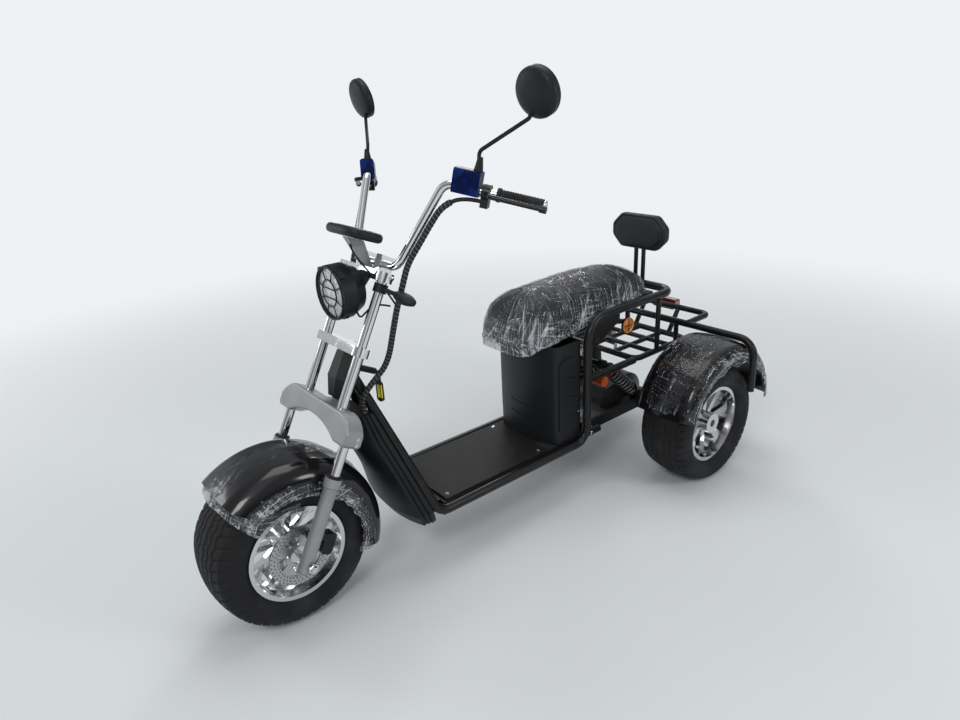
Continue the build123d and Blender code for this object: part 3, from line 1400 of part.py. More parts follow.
# Ignition lock on the back of the head cowl, with its key and hanging fob
lock_r = 9.0
lock_len = 50.0
key_len = 16.0
key_r = 4.0
fob_w = 26.0
fob_h = 58.0
fob_t = 10.0
strap_w = 7.0
strap_h = 40.0
lock_root = at_fork(35.0, 516.0, steer_back + cowl_back + fit)
key_end = lock_root + fork_rear * (lock_len + key_len)
with BuildPart() as ignition:
    with BuildSketch(Plane(origin=lock_root, z_dir=fork_rear)):
        Circle(lock_r)
    extrude(amount=lock_len)
    add(rod([lock_root + fork_rear * lock_len, key_end], key_r))
    with BuildSketch(Plane(origin=key_end - Vector(0, fob_t, 0), x_dir=(-1, 0, 0), z_dir=(0, 1, 0))):
        with Locations((0, -strap_h / 2 + key_r)):
            Rectangle(strap_w, strap_h)
        with Locations((0, -strap_h - fob_h / 2 + 3 * key_r)):
            RectangleRounded(fob_w, fob_h, strap_w)
    extrude(amount=fob_t)
write(ignition, "ignition_lock")
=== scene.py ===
"""Dresses the three-wheeled electric chopper: finishes, tread, film, padding, wiring, trim and a studio."""

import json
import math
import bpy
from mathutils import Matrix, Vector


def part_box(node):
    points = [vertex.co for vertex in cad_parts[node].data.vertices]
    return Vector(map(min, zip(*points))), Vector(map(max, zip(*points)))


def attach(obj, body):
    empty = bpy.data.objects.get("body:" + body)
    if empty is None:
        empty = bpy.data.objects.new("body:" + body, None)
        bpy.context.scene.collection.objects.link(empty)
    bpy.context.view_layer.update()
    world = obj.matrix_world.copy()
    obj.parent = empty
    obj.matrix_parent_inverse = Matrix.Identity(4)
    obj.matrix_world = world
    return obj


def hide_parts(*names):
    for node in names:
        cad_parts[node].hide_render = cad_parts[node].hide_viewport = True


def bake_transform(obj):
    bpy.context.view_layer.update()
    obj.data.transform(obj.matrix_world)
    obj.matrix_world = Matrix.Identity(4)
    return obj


bl_info = {
    "name": "Electric chopper dresser",
    "version": (1, 0, 0),
    "blender": (4, 5, 0),
    "location": "View3D > Sidebar > Chopper",
    "description": "Builds the looks of a three-wheeled electric chopper round its packed frame",
    "category": "Object",
}

import bmesh
import bpy
import numpy as np
from mathutils import Matrix, Vector, noise
from mathutils.bvhtree import BVHTree

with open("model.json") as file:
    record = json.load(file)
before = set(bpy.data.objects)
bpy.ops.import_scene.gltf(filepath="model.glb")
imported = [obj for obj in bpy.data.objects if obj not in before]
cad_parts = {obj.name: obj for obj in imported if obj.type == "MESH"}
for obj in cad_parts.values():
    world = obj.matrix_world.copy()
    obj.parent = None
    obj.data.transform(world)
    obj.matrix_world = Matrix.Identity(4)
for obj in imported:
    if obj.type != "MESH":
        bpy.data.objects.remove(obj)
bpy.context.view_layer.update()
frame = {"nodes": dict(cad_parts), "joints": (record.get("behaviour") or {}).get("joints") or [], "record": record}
record = frame["record"]
nodes = frame["nodes"]
joints = {joint["name"]: joint for joint in frame["joints"]}
body_of = {node: body for body, members in record["behaviour"]["bodies"].items() for node in members}
slot_of = {row["node"]: row["material_slot"] for row in record["subparts"]}

# Places read from the frame
FORK_UP = Vector(joints["steering_turn"]["axis"])
FORK_REAR = Vector((0, FORK_UP.z, -FORK_UP.y))
FRONT_AXLE = Vector(joints["front_wheel_spin"]["pos_m"])
LEFT_AXLE = Vector(joints["rear_left_spin"]["pos_m"])
RIGHT_AXLE = Vector(joints["rear_right_spin"]["pos_m"])
ACROSS = Vector((1, 0, 0))
UPWARDS = Vector((0, 0, 1))
MM = 0.001
SIDES = ((1, "left"), (-1, "right"))


def at_fork(lateral, along, back=0.0):
    """A place in millimetres across the fork, up along it from the axle, and back from it."""
    return FRONT_AXLE + (Vector((lateral, 0, 0)) + FORK_UP * along + FORK_REAR * back) * MM


# Shader expressions


class Socket:
    """A node's output that takes part in Python arithmetic and adds Math nodes as it goes."""

    def __init__(self, shade, output):
        self.shade = shade
        self.output = output

    def math(self, operation, other=0.0, swap=False):
        pair = {0: other, 1: self} if swap else {0: self, 1: other}
        return self.shade.node("ShaderNodeMath", {"operation": operation}, pair)

    def __add__(self, other):
        return self.math("ADD", other)

    def __sub__(self, other):
        return self.math("SUBTRACT", other)

    def __rsub__(self, other):
        return self.math("SUBTRACT", other, swap=True)

    def __mul__(self, other):
        return self.math("MULTIPLY", other)

    def __abs__(self):
        return self.math("ABSOLUTE")

    def clip(self, low, high):
        """0 below low, 1 above high, and smooth between them."""
        values = {"Value": self, "From Min": low, "From Max": high}
        return self.shade.node("ShaderNodeMapRange", {"interpolation_type": "SMOOTHSTEP"}, values)

    def wave(self):
        return self.math("SINE")

    __radd__ = __add__
    __rmul__ = __mul__


class Shade:
    """A material under construction: one Principled shader and the nodes that feed it."""

    def __init__(self, name):
        self.material = bpy.data.materials.new(name)
        self.material.use_nodes = True
        self.tree = self.material.node_tree
        self.surface = self.tree.nodes["Principled BSDF"]

    @classmethod
    def of_world(cls, world):
        """The same methods on a world's nodes."""
        made = cls.__new__(cls)
        world.use_nodes = True
        made.tree = world.node_tree
        return made

    def node(self, kind, settings=None, values=None, output=0):
        """Any node, from its type, its settings and the values or links of its sockets."""
        made = self.tree.nodes.new(kind)
        for key, value in (settings or {}).items():
            setattr(made, key, value)
        for key, value in (values or {}).items():
            self.feed(made.inputs[key], value)
        return Socket(self, made.outputs[output])

    def feed(self, target, value):
        """Links a socket's value, or sets a plain one."""
        if isinstance(value, Socket):
            self.tree.links.new(value.output, target)
        else:
            target.default_value = value

    def place(self, scale=(1, 1, 1), centre=(0, 0, 0)):
        """Object coordinates, centred and scaled."""
        here = self.node("ShaderNodeTexCoord", output=3)
        moved = self.node("ShaderNodeVectorMath", {"operation": "SUBTRACT"}, {0: here, 1: centre})
        return self.node("ShaderNodeMapping", None, {"Vector": moved, "Scale": scale})

    def uv(self, axis):
        """One axis of the piece's own UV map."""
        here = self.node("ShaderNodeTexCoord", output=2)
        return self.node("ShaderNodeSeparateXYZ", None, {0: here}, output=axis)

    def map(self, scale, turn):
        """The piece's own UV map, turned in its plane and scaled."""
        here = self.node("ShaderNodeTexCoord", output=2)
        values = {"Vector": here, "Rotation": (0, 0, turn), "Scale": [1 / s for s in scale]}
        return self.node("ShaderNodeMapping", {"vector_type": "TEXTURE"}, values)

    def noise(self, scale, detail=3.0, where=None, rough=0.55, twist=0.0):
        """A cloudy pattern, on object coordinates unless another place is given."""
        values = {"Vector": where or self.place(), "Scale": scale, "Detail": detail, "Roughness": rough,
                  "Distortion": twist}
        return self.node("ShaderNodeTexNoise", None, values)

    def cells(self, scale):
        """Distance to the middle of the nearest cell."""
        return self.node("ShaderNodeTexVoronoi", None, {"Vector": self.place(), "Scale": scale})

    def mix(self, share, first, second):
        """A colour between two colours."""
        values = {0: share, 6: (*first, 1.0), 7: (*second, 1.0)}
        return self.node("ShaderNodeMix", {"data_type": "RGBA"}, values, output=2)

    def bump(self, height, depth, strength=1.0):
        return self.node("ShaderNodeBump", None, {"Height": height, "Distance": depth, "Strength": strength})

    def set(self, **inputs):
        """Feeds the Principled shader's sockets, named with underscores for spaces."""
        for key, value in inputs.items():
            if not isinstance(value, Socket) and hasattr(value, "__len__") and len(value) == 3:
                value = (*value, 1.0)
            self.feed(self.surface.inputs[key.replace("_", " ")], value)
        return self.material


made_finishes = {}


def finish(maker):
    """Keeps one material for each finish."""
    def once():
        if maker.__name__ not in made_finishes:
            made_finishes[maker.__name__] = maker(Shade(maker.__name__), bpy.context.scene.chopper_colours)
        return made_finishes[maker.__name__]
    return once


def clouded(name, tone, other=None, share=1.0, cloud=(12.0, 3.0), span=None, rough=(0.4, 0.1), grain=None,
            bare=False, **sockets):
    """A finish whose colour and roughness drift with a cloud over the piece, above a fine grain.

    other is a second colour's name or a factor of the first colour, and share is how much of it is shown.
    cloud is the pattern's scale and detail, and span is the range it is clipped to.
    rough is the lowest roughness and its drift, which follows the bare cloud or the clipped one.
    grain is a pattern's kind and scale, with the bump's depth and strength.
    """
    def make(shade, colours):
        base = getattr(colours, tone)
        drift = shade.noise(*cloud)
        patch = drift.clip(*span) if span else drift
        if other:
            second = getattr(colours, other) if isinstance(other, str) else [c * other for c in base]
            base = shade.mix(patch * share, base, second)
        if grain:
            kind, scale, depth, strength = grain
            sockets["Normal"] = shade.bump(getattr(shade, kind)(*scale), depth, strength)
        return shade.set(Base_Color=base, Roughness=rough[0] + (drift if bare else patch) * rough[1], **sockets)
    make.__name__ = name
    return finish(make)


def moulded_lens(name, tone, scale, darker, rough, depth, strength):
    """A coloured lens with a prism pattern."""
    def make(shade, colours):
        prisms = shade.cells(scale)
        base = getattr(colours, tone)
        base = shade.mix(prisms.clip(0.1, 0.7), base, [c * darker for c in base])
        return shade.set(Base_Color=base, Roughness=rough, Normal=shade.bump(prisms, depth, strength),
                         Coat_Weight=1.0)
    make.__name__ = name
    return finish(make)


# Dull tread rubber with grey dust, satin rubber with a fine tooth, powder coat with a little orange peel
tyre_rubber = clouded(
    "tyre_rubber", "rubber", "dust", share=0.5, cloud=(9.0, 5.0), span=(0.45, 0.8), rough=(0.62, 0.16),
    grain=("noise", (900.0, 2.0), 0.0004, 0.5), Specular_IOR_Level=0.22)
black_rubber = clouded(
    "black_rubber", "rubber", "dust", share=0.5, cloud=(16.0, 5.0), span=(0.5, 0.8), rough=(0.55, 0.16),
    grain=("cells", (700.0,), 0.0006, 0.5), Specular_IOR_Level=0.25)
black_paint = clouded(
    "black_paint", "paint", "dust", share=0.35, cloud=(22.0, 5.0), span=(0.55, 0.8), rough=(0.30, 0.18),
    grain=("noise", (520.0, 2.0), 0.0003, 0.35), Specular_IOR_Level=0.32)
# Silver paint with a metal flake, moulded plastic, pebbled vinyl
silver_paint = clouded(
    "silver_paint", "silver", 0.86, cloud=(14.0, 3.0), span=(0.35, 0.75), rough=(0.36, 0.1), bare=True,
    grain=("cells", (2600.0,), 0.0001, 0.2), Metallic=0.45, Coat_Weight=0.2, Coat_Roughness=0.12)
black_plastic = clouded(
    "black_plastic", "plastic", 1.7, share=0.5, cloud=(7.0, 4.0), span=(0.4, 0.8), rough=(0.36, 0.14),
    bare=True, grain=("cells", (1500.0,), 0.00025, 0.4), Specular_IOR_Level=0.26)
seat_leather = clouded(
    "seat_leather", "vinyl", 1.8, cloud=(10.0, 4.0), span=(0.4, 0.8), rough=(0.40, 0.18), bare=True,
    grain=("cells", (420.0,), 0.0008, 0.5), Specular_IOR_Level=0.3)
# Metals: bright plating with handling marks, mirror glass, a cast housing, orange anodising, dark plated wire
chrome = clouded("chrome", "chrome", cloud=(34.0, 4.0), span=(0.5, 0.85), rough=(0.05, 0.12), Metallic=1.0)
mirror_silver = clouded(
    "mirror_silver", "chrome", cloud=(20.0, 4.0), span=(0.6, 0.9), rough=(0.02, 0.05), Metallic=1.0)
motor_alloy = clouded(
    "motor_alloy", "motor", 0.55, cloud=(18.0, 5.0), span=(0.45, 0.8), rough=(0.42, 0.2),
    grain=("noise", (260.0, 4.0), 0.0008, 0.5), Metallic=0.5)
orange_anodised = clouded(
    "orange_anodised", "orange", 0.7, cloud=(40.0, 4.0), span=(0.4, 0.8), rough=(0.28, 0.12), bare=True,
    Metallic=0.35)
spring_steel = clouded("spring_steel", "spring", cloud=(70.0, 4.0), rough=(0.22, 0.2), Metallic=0.9)
# Gloss black moulding, black glass over a display that is off, a plain casing, red rings, a yellow strip
gloss_black = clouded(
    "gloss_black", "gloss", cloud=(11.0, 4.0), span=(0.45, 0.8), rough=(0.14, 0.15), Specular_IOR_Level=0.35,
    Coat_Weight=0.2, Coat_Roughness=0.05)
dark_display = clouded(
    "dark_display", "gloss", cloud=(18.0, 4.0), span=(0.5, 0.8), rough=(0.05, 0.1), Coat_Weight=0.5)
battery_case = clouded(
    "battery_case", "case", cloud=(12.0, 3.0), rough=(0.5, 0.15), grain=("noise", (800.0, 2.0), 0.0003, 0.4))
red_ring = clouded("red_ring", "red", 0.6, cloud=(80.0, 3.0), span=(0.4, 0.8), rough=(0.3, 0.1), bare=True)
yellow_tab = clouded(
    "yellow_tab", "yellow", 0.6, share=0.4, cloud=(60.0, 4.0), span=(0.5, 0.8), rough=(0.35, 0.2))
red_lens = moulded_lens("red_lens", "red", scale=160.0, darker=0.5, rough=0.15, depth=0.001, strength=0.5)
amber_lens = moulded_lens(
    "amber_lens", "amber", scale=240.0, darker=0.55, rough=0.14, depth=0.0008, strength=0.6)


@finish
def polished_alloy(shade, colours):
    """Bright turned aluminium with fine smears."""
    smear = shade.noise(26.0, 5.0, twist=1.0)
    fine = shade.noise(420.0, 2.0, shade.place((1, 1, 0.08)))
    return shade.set(Base_Color=colours.alloy, Metallic=1.0, Roughness=0.10 + smear.clip(0.4, 0.8) * 0.16,
                     Normal=shade.bump(fine, 0.0002, 0.25))


@finish
def disc_steel(shade, colours):
    """Ground brake steel with rings of wear."""
    from_axle = shade.place((0, 1, 1), centre=FRONT_AXLE)
    rings = shade.node("ShaderNodeVectorMath", {"operation": "LENGTH"}, {0: from_axle}, 1) * 2600.0
    wear = (rings.wave() * 0.5 + 0.5) * 0.1 + shade.noise(60.0) * 0.1
    return shade.set(Base_Color=colours.steel, Metallic=1.0, Roughness=0.24 + wear)


def ridge(shade, scale, turn, width, twist=0.0, detail=0.5):
    """Thin lines where a noise on the piece's own map crosses its middle."""
    return 1 - abs(shade.noise(1.0, detail, shade.map((*scale, 1.0), turn), 0.5, twist) - 0.5).clip(0.0, width)


@finish
def clear_wrap(shade, colours):
    """Thin stretch film over black: see-through, with painted pale glints on its creases and painted sheen where
    gathered.
    """
    bunched = shade.node("ShaderNodeAttribute", {"attribute_name": "bunched"}, output=2)
    patches = [shade.noise(1.0, 2.0, shade.map((9.0, 7.0, 1.0), turn)).clip(0.42, 0.60)
               for turn in (0.4, 1.3, 2.2)]
    drawn = ridge(shade, (2.2, 62.0), 0.06, 0.050) * (0.50 + patches[0] * 0.40)
    leaning = ridge(shade, (2.6, 34.0), 0.50, 0.040) * patches[1] * 0.70
    crossing = ridge(shade, (40.0, 2.6), 0.22, 0.035) * patches[2] * 0.60
    crumpled = ridge(shade, (70.0, 40.0), 0.5, 0.080, 0.9, 3.0) * bunched * bunched
    # painted sheen: a pale haze where the film is gathered or lit, standing in for reflected light
    painted_sheen = bunched.clip(0.20, 0.75) * (0.20 + patches[1] * 0.80)
    lines = drawn + leaning + crossing
    # painted glints: crease lines and the sheen lighten the film towards the pale glint colour
    painted_glint = lines * (0.32 + bunched * 0.50) + painted_sheen * 0.30 + crumpled * 0.55
    base = shade.mix(painted_glint.clip(0.04, 1.1), colours.wrap_dark, colours.wrap)
    height = lines * 0.7 + crumpled * 0.5
    return shade.set(Base_Color=base, Roughness=0.08 + painted_sheen * 0.12, Alpha=0.38 + painted_glint.clip(0.0, 1.0) * 0.55,
                     Normal=shade.bump(height, 0.004, 0.8), Specular_IOR_Level=1.0)


@finish
def lamp_glass(shade, colours):
    """Pressed lamp glass over a reflector, its brightness painted: a pale colour and a faint glow stand in for
    light on the unlit lamp.
    """
    flutes = (shade.node("ShaderNodeSeparateXYZ", None, {0: shade.place()}) * 700.0).wave() * 0.5 + 0.5
    facets = shade.cells(90.0)
    base = shade.mix(facets.clip(0.1, 0.7), colours.lamp, [c * 0.6 for c in colours.lamp])
    # painted light: a faint glow that brightens the unlit lamp's face
    return shade.set(Base_Color=base, Emission_Color=base, Emission_Strength=0.12, Roughness=0.22,
                     Normal=shade.bump(flutes + facets, 0.001, 0.35), Coat_Weight=0.5, Coat_Roughness=0.03)


@finish
def blue_wrap(shade, colours):
    """Dark blue film on the switch boxes, with painted highlights: lighter blue on its creases and in patches."""
    crease = 1 - abs(shade.noise(46.0, 3.0, twist=0.6) - 0.5).clip(0.0, 0.03)
    patch = shade.noise(30.0, 1.0).clip(0.52, 0.64)
    # painted highlights: creases and patches lightened towards a pale blue, while the real specular is kept low
    base = shade.mix(crease * 0.3 + patch * 0.5, colours.blue, [min(1.0, c * 3.5) for c in colours.blue])
    return shade.set(Base_Color=base, Roughness=0.28, Normal=shade.bump(crease, 0.0006, 0.4),
                     Specular_IOR_Level=0.04)


@finish
def loom_wrap(shade, colours):
    """Black spiral band with a painted pale glint along its cut edge."""
    # painted glint: the band's edge is mixed towards the pale glint colour
    edge = 1 - abs(shade.uv(1) - 0.5).clip(0.03, 0.11)
    base = shade.mix(edge * 0.32, colours.rubber, colours.wrap)
    return shade.set(Base_Color=base, Roughness=0.42 + shade.noise(90.0) * 0.1, Specular_IOR_Level=0.3)


finish_for_slot = {
    "tyre_rubber": tyre_rubber, "polished_alloy": polished_alloy, "disc_steel": disc_steel, "chrome": chrome,
    "silver_alloy": silver_paint, "black_paint": black_paint, "black_plastic": black_plastic,
    "gloss_black": gloss_black, "black_rubber": black_rubber, "seat_leather": seat_leather,
    "battery_case": battery_case, "motor_alloy": motor_alloy, "orange_anodised": orange_anodised,
    "spring_steel": spring_steel, "lamp_glass": lamp_glass, "mirror_silver": mirror_silver,
    "red_lens": red_lens, "amber_lens": amber_lens,
}


# Sizes and colours that a user would change


def colour(name, description, default):
    return bpy.props.FloatVectorProperty(
        name=name, description=description, subtype="COLOR", size=3, min=0, max=1, default=default)


def length(name, description, default):
    return bpy.props.FloatProperty(
        name=name, description=description, subtype="DISTANCE", unit="LENGTH", default=default)


class ChopperColours(bpy.types.PropertyGroup):
    """Base colours of the finishes."""
    rubber: colour("Rubber", "Tyres, grips and mat", (0.012, 0.012, 0.013))
    dust: colour("Dust", "Dust and scuffs on dark surfaces", (0.060, 0.060, 0.062))
    alloy: colour("Alloy", "Polished wheels", (0.66, 0.66, 0.67))
    steel: colour("Steel", "Brake disc", (0.48, 0.48, 0.49))
    spring: colour("Spring", "Shock absorbers' coils", (0.1344, 0.1344, 0.1372))
    chrome: colour("Chrome", "Handlebar, fork tubes and clamps", (0.66, 0.67, 0.69))
    silver: colour("Silver", "Fork legs and yoke", (0.33, 0.335, 0.345))
    paint: colour("Black paint", "Frame and rack", (0.008, 0.008, 0.009))
    plastic: colour("Black plastic", "Leg shield and seat box", (0.009, 0.010, 0.011))
    gloss: colour("Gloss black", "Mudguards", (0.006, 0.006, 0.007))
    # painted glint colour: the pale of the film's creases and sheen, and of the loom's band edge, stands in for
    # reflected light
    wrap: colour("Wrap", "Creases of the clear film", (0.66, 0.69, 0.73))
    wrap_dark: colour("Film over black", "Clear film where it lies flat", (0.020, 0.022, 0.026))
    yellow: colour("Yellow", "Strip on the key fob", (0.80, 0.68, 0.03))
    vinyl: colour("Vinyl", "Seat and backrest", (0.012, 0.013, 0.015))
    case: colour("Battery case", "Battery", (0.05, 0.05, 0.055))
    motor: colour("Motor", "Motor and axle", (0.055, 0.055, 0.058))
    orange: colour("Orange", "Shock reservoirs", (0.70, 0.13, 0.015))
    # painted reflection: the pale lamp colour stands in for the bright reflector behind the glass
    lamp: colour("Lamp", "Head lamp glass", (0.70, 0.72, 0.74))
    red: colour("Red", "Tail lamp", (0.35, 0.01, 0.01))
    amber: colour("Amber", "Side reflectors", (0.80, 0.25, 0.01))
    blue: colour("Blue", "Film on the switch boxes", (0.003, 0.010, 0.060))
    floor: colour("Floor", "Studio floor", (0.84, 0.87, 0.89))
    backdrop: colour("Backdrop", "Studio background", (0.86, 0.885, 0.905))


class ChopperSizes(bpy.types.PropertyGroup):
    """Sizes of the added detail."""
    groove: length("Groove depth", "Depth of the tyre's grooves", 0.0045)
    wrap_lift: length("Wrap lift", "How far the film stands off what it covers", 0.003)
    crease: length("Crease", "Height of the film's creases", 0.0035)
    loom_pitch: length("Loom pitch", "One turn of the loom's spiral wrap", 0.011)


# Meshes


def new_object(name, mesh, material=None, smooth=True):
    """A mesh as an object in the scene."""
    made = bpy.data.objects.new(name, mesh)
    bpy.context.scene.collection.objects.link(made)
    if material:
        mesh.materials.append(material)
    mesh.polygons.foreach_set("use_smooth", [smooth] * len(mesh.polygons))
    return made


def grid(name, points, material, wrap_rows=False, wrap_columns=False, smooth=True, map_step=(1.0, 1.0)):
    """A mesh of quads over an array of points, rows by columns, with a UV map by row and column."""
    rows, columns = points.shape[:2]
    last_row = rows if wrap_rows else rows - 1
    last_column = columns if wrap_columns else columns - 1
    row, column = np.meshgrid(np.arange(last_row), np.arange(last_column), indexing="ij")
    next_row = (row + 1) % rows
    next_column = (column + 1) % columns
    quads = np.stack([row * columns + column, row * columns + next_column, next_row * columns + next_column,
                      next_row * columns + column], axis=-1).reshape(-1, 4)
    mesh = bpy.data.meshes.new(name)
    mesh.from_pydata(points.reshape(-1, 3).tolist(), [], quads.tolist())
    corners = [np.stack([row + i, column + j], -1) for i, j in ((0, 0), (0, 1), (1, 1), (1, 0))]
    uv = np.stack(corners, axis=2).reshape(-1, 2) * np.array(map_step)
    layer = mesh.uv_layers.new(name="rows_columns")
    layer.data.foreach_set("uv", uv.astype(np.float32).ravel())
    mesh.update()
    return new_object(name, mesh, material, smooth)


def face_outwards(piece):
    """Merges doubles and turns every face outwards."""
    work = bmesh.new()
    work.from_mesh(piece.data)
    bmesh.ops.remove_doubles(work, verts=work.verts, dist=1e-6)
    bmesh.ops.recalc_face_normals(work, faces=work.faces)
    work.to_mesh(piece.data)
    work.free()
    return piece


def skin(name, rings, material):
    """A piece's skin over rings of points."""
    return face_outwards(grid(name, np.array(rings), material, wrap_columns=True))


def settle(piece, body, slot, *replaced):
    """Puts a finished piece on its body and in place of its solids; the slot is not used."""
    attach(piece, body)
    if replaced:
        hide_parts(*replaced)
    return piece


def arc3(first, middle, last, count):
    """Points along the circle through three points in a plane."""
    (ax, ay), (bx, by), (cx, cy) = first, middle, last
    d = 2 * (ax * (by - cy) + bx * (cy - ay) + cx * (ay - by))
    ux = ((ax**2 + ay**2) * (by - cy) + (bx**2 + by**2) * (cy - ay) + (cx**2 + cy**2) * (ay - by)) / d
    uy = ((ax**2 + ay**2) * (cx - bx) + (bx**2 + by**2) * (ax - cx) + (cx**2 + cy**2) * (bx - ax)) / d
    radius = math.hypot(ax - ux, ay - uy)
    start = math.atan2(ay - uy, ax - ux)
    via = (math.atan2(by - uy, bx - ux) - start) % math.tau
    turn = (math.atan2(cy - uy, cx - ux) - start) % math.tau
    if via > turn:
        turn -= math.tau
    return [(ux + radius * math.cos(start + turn * t), uy + radius * math.sin(start + turn * t))
            for t in np.linspace(0, 1, count)]


def circle(centre, across, above, radius, count):
    """Points round a circle, the first one again at the end."""
    turns = np.arange(count + 1) / count * math.tau
    return [list(centre + (across * math.cos(a) + above * math.sin(a)) * radius) for a in turns]


def eased(x, keys, values):
    """A smooth curve through a few values."""
    keys = np.asarray(keys, float)
    values = np.asarray(values, float)
    slopes = np.gradient(values, keys)
    i = np.clip(np.searchsorted(keys, x) - 1, 0, len(keys) - 2)
    h = keys[i + 1] - keys[i]
    t = np.clip((x - keys[i]) / h, 0, 1)
    return ((1 + 2 * t) * (1 - t) ** 2 * values[i] + t * (1 - t) ** 2 * h * slopes[i]
            + t * t * (3 - 2 * t) * values[i + 1] + t * t * (t - 1) * h * slopes[i + 1])


def bend_through(route, steps=12):
    """Points of a smooth line that a route steers, read from a NURBS spline."""
    curve = bpy.data.curves.new("route", "CURVE")
    curve.dimensions = "3D"
    spline = curve.splines.new("NURBS")
    spline.points.add(len(route) - 1)
    for point, place in zip(spline.points, route):
        point.co = (*place, 1.0)
    spline.order_u = 3
    spline.use_endpoint_u = True
    spline.resolution_u = steps
    holder = bpy.data.objects.new("route", curve)
    bpy.context.scene.collection.objects.link(holder)
    mesh = bpy.data.meshes.new_from_object(holder)
    points = [vertex.co.copy() for vertex in mesh.vertices]
    bpy.data.objects.remove(holder)
    bpy.data.curves.remove(curve)
    bpy.data.meshes.remove(mesh)
    return points


def spaced(points, count=None, step=None):
    """A line in even steps, by their count or their length, and how far along it each place is."""
    places = np.array([list(point) for point in points], float)
    runs = np.concatenate([[0], np.cumsum(np.linalg.norm(np.diff(places, axis=0), axis=1))])
    marks = np.linspace(0, runs[-1], count or max(2, int(runs[-1] / step) + 1))
    return np.stack([np.interp(marks, runs, column) for column in places.T], axis=1), marks


def tube(name, line, radius, material, sides=16, ends=True):
    """A tube round a line, its radius a number or an array of rings by sides."""
    line = np.asarray(line, float)
    ways = np.gradient(line, axis=0)
    ways /= np.linalg.norm(ways, axis=1)[:, None]
    side = np.cross(ways[0], (0.3, 0.5, 0.81))
    rings = []
    angles = np.arange(sides) * math.tau / sides
    widths = np.broadcast_to(np.asarray(radius, float), (len(line), sides))
    for place, way, width in zip(line, ways, widths):
        side = side - way * np.dot(side, way)
        side /= np.linalg.norm(side)
        other = np.cross(way, side)
        rings.append(place + np.outer(np.cos(angles) * width, side) + np.outer(np.sin(angles) * width, other))
    if ends:
        rings = [np.broadcast_to(line[0], (sides, 3))] + rings + [np.broadcast_to(line[-1], (sides, 3))]
    return skin(name, rings, material)


# Wheels


def tyre_section(outer, half, bead, flange, seat_r, shoulder, crown, across):
    """A tyre's closed section as distance across and radius."""
    wall = arc3((bead, flange), (half, (flange + outer) / 2), (shoulder, outer - crown), 22)
    top = arc3((shoulder, outer - crown), (0, outer), (-shoulder, outer - crown), across)
    other = [(-x, r) for x, r in reversed(wall)]
    inner = [(-bead, seat_r), (bead, seat_r)]
    return np.array(wall[:-1] + top + other[1:] + inner)


def tread_depth(across, turn, shoulder, outer):
    """How deep the rubber is cut at a place across the tread and round the wheel, from 0 to 1."""
    share = np.abs(across) / shoulder
    ring_waves = 0.035 * np.sin(turn * 36)
    cut = np.zeros_like(across)
    for ring in (0.16, 0.44, 0.70):
        cut = np.maximum(cut, np.clip(1.6 - np.abs(share - ring - ring_waves) / 0.022, 0, 1))
    pitch = math.tau / 44
    slant = turn + 0.16 * across / shoulder * np.sign(across)
    notch = np.abs((slant / pitch) % 1 - 0.5) * pitch * outer
    edge = np.clip((share - 0.74) / 0.03, 0, 1) * np.clip((1.20 - share) / 0.05, 0, 1)
    cut = np.maximum(cut, np.clip(1.7 - notch / 0.0022, 0, 1) * edge)
    sipe = np.abs((slant / pitch * 2) % 1 - 0.5) * pitch * outer / 2
    middle = np.clip((share - 0.20) / 0.03, 0, 1) * np.clip((0.40 - share) / 0.03, 0, 1)
    return np.maximum(cut, 0.55 * np.clip(1.5 - sipe / 0.0016, 0, 1) * middle)


def build_tyre(wheel, axle, bead, edge, depth):
    """A tyre on its rim: bead is half the width of its foot, edge how far the tread ends inside the wall."""
    node = f"{wheel}_tyre"
    low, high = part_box(node)
    rim_low, rim_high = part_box(f"{wheel}_rim")
    outer = (high.z - low.z) / 2
    half = (high.x - low.x) / 2
    flange = (rim_high.z - rim_low.z) / 2
    shoulder = half - edge
    section = tyre_section(outer, half, bead, flange=flange - 0.0002, seat_r=flange - 0.0085, shoulder=shoulder,
                           crown=0.012, across=84)
    turns = np.arange(528) * math.tau / 528
    across = np.repeat(section[None, :, 0], len(turns), axis=0)
    radius = np.repeat(section[None, :, 1], len(turns), axis=0)
    turn = np.repeat(turns[:, None], section.shape[0], axis=1)
    tread = np.clip((radius - (outer - 0.052)) / 0.006, 0, 1)
    cut = tread_depth(across, turn, shoulder, outer) * tread
    lean = np.clip((np.abs(across) - shoulder) / (half - shoulder + 1e-6), 0, 1)
    radius = radius - cut * depth * (1 - lean)
    across = across - np.sign(across) * cut * depth * 0.8 * lean
    points = np.stack([axle.x + across, axle.y + radius * np.cos(turn), axle.z + radius * np.sin(turn)], -1)
    piece = grid(f"{node}_tread", points, tyre_rubber(), wrap_rows=True, wrap_columns=True)
    return settle(face_outwards(piece), body_of[node], slot_of[node], node)


class CHOPPER_OT_tyres(bpy.types.Operator):
    """Fat tyres with wavy ring grooves and notched shoulders"""
    bl_idname = "chopper.tyres"
    bl_label = "Tyres"

    def execute(self, context):
        depth = context.scene.chopper_sizes.groove
        build_tyre("front", FRONT_AXLE, bead=0.0907, edge=0.018, depth=depth)
        for wheel, axle in (("rear_left", LEFT_AXLE), ("rear_right", RIGHT_AXLE)):
            build_tyre(wheel, axle, bead=0.0667, edge=0.014, depth=depth)
        return {"FINISHED"}


# Brake disc


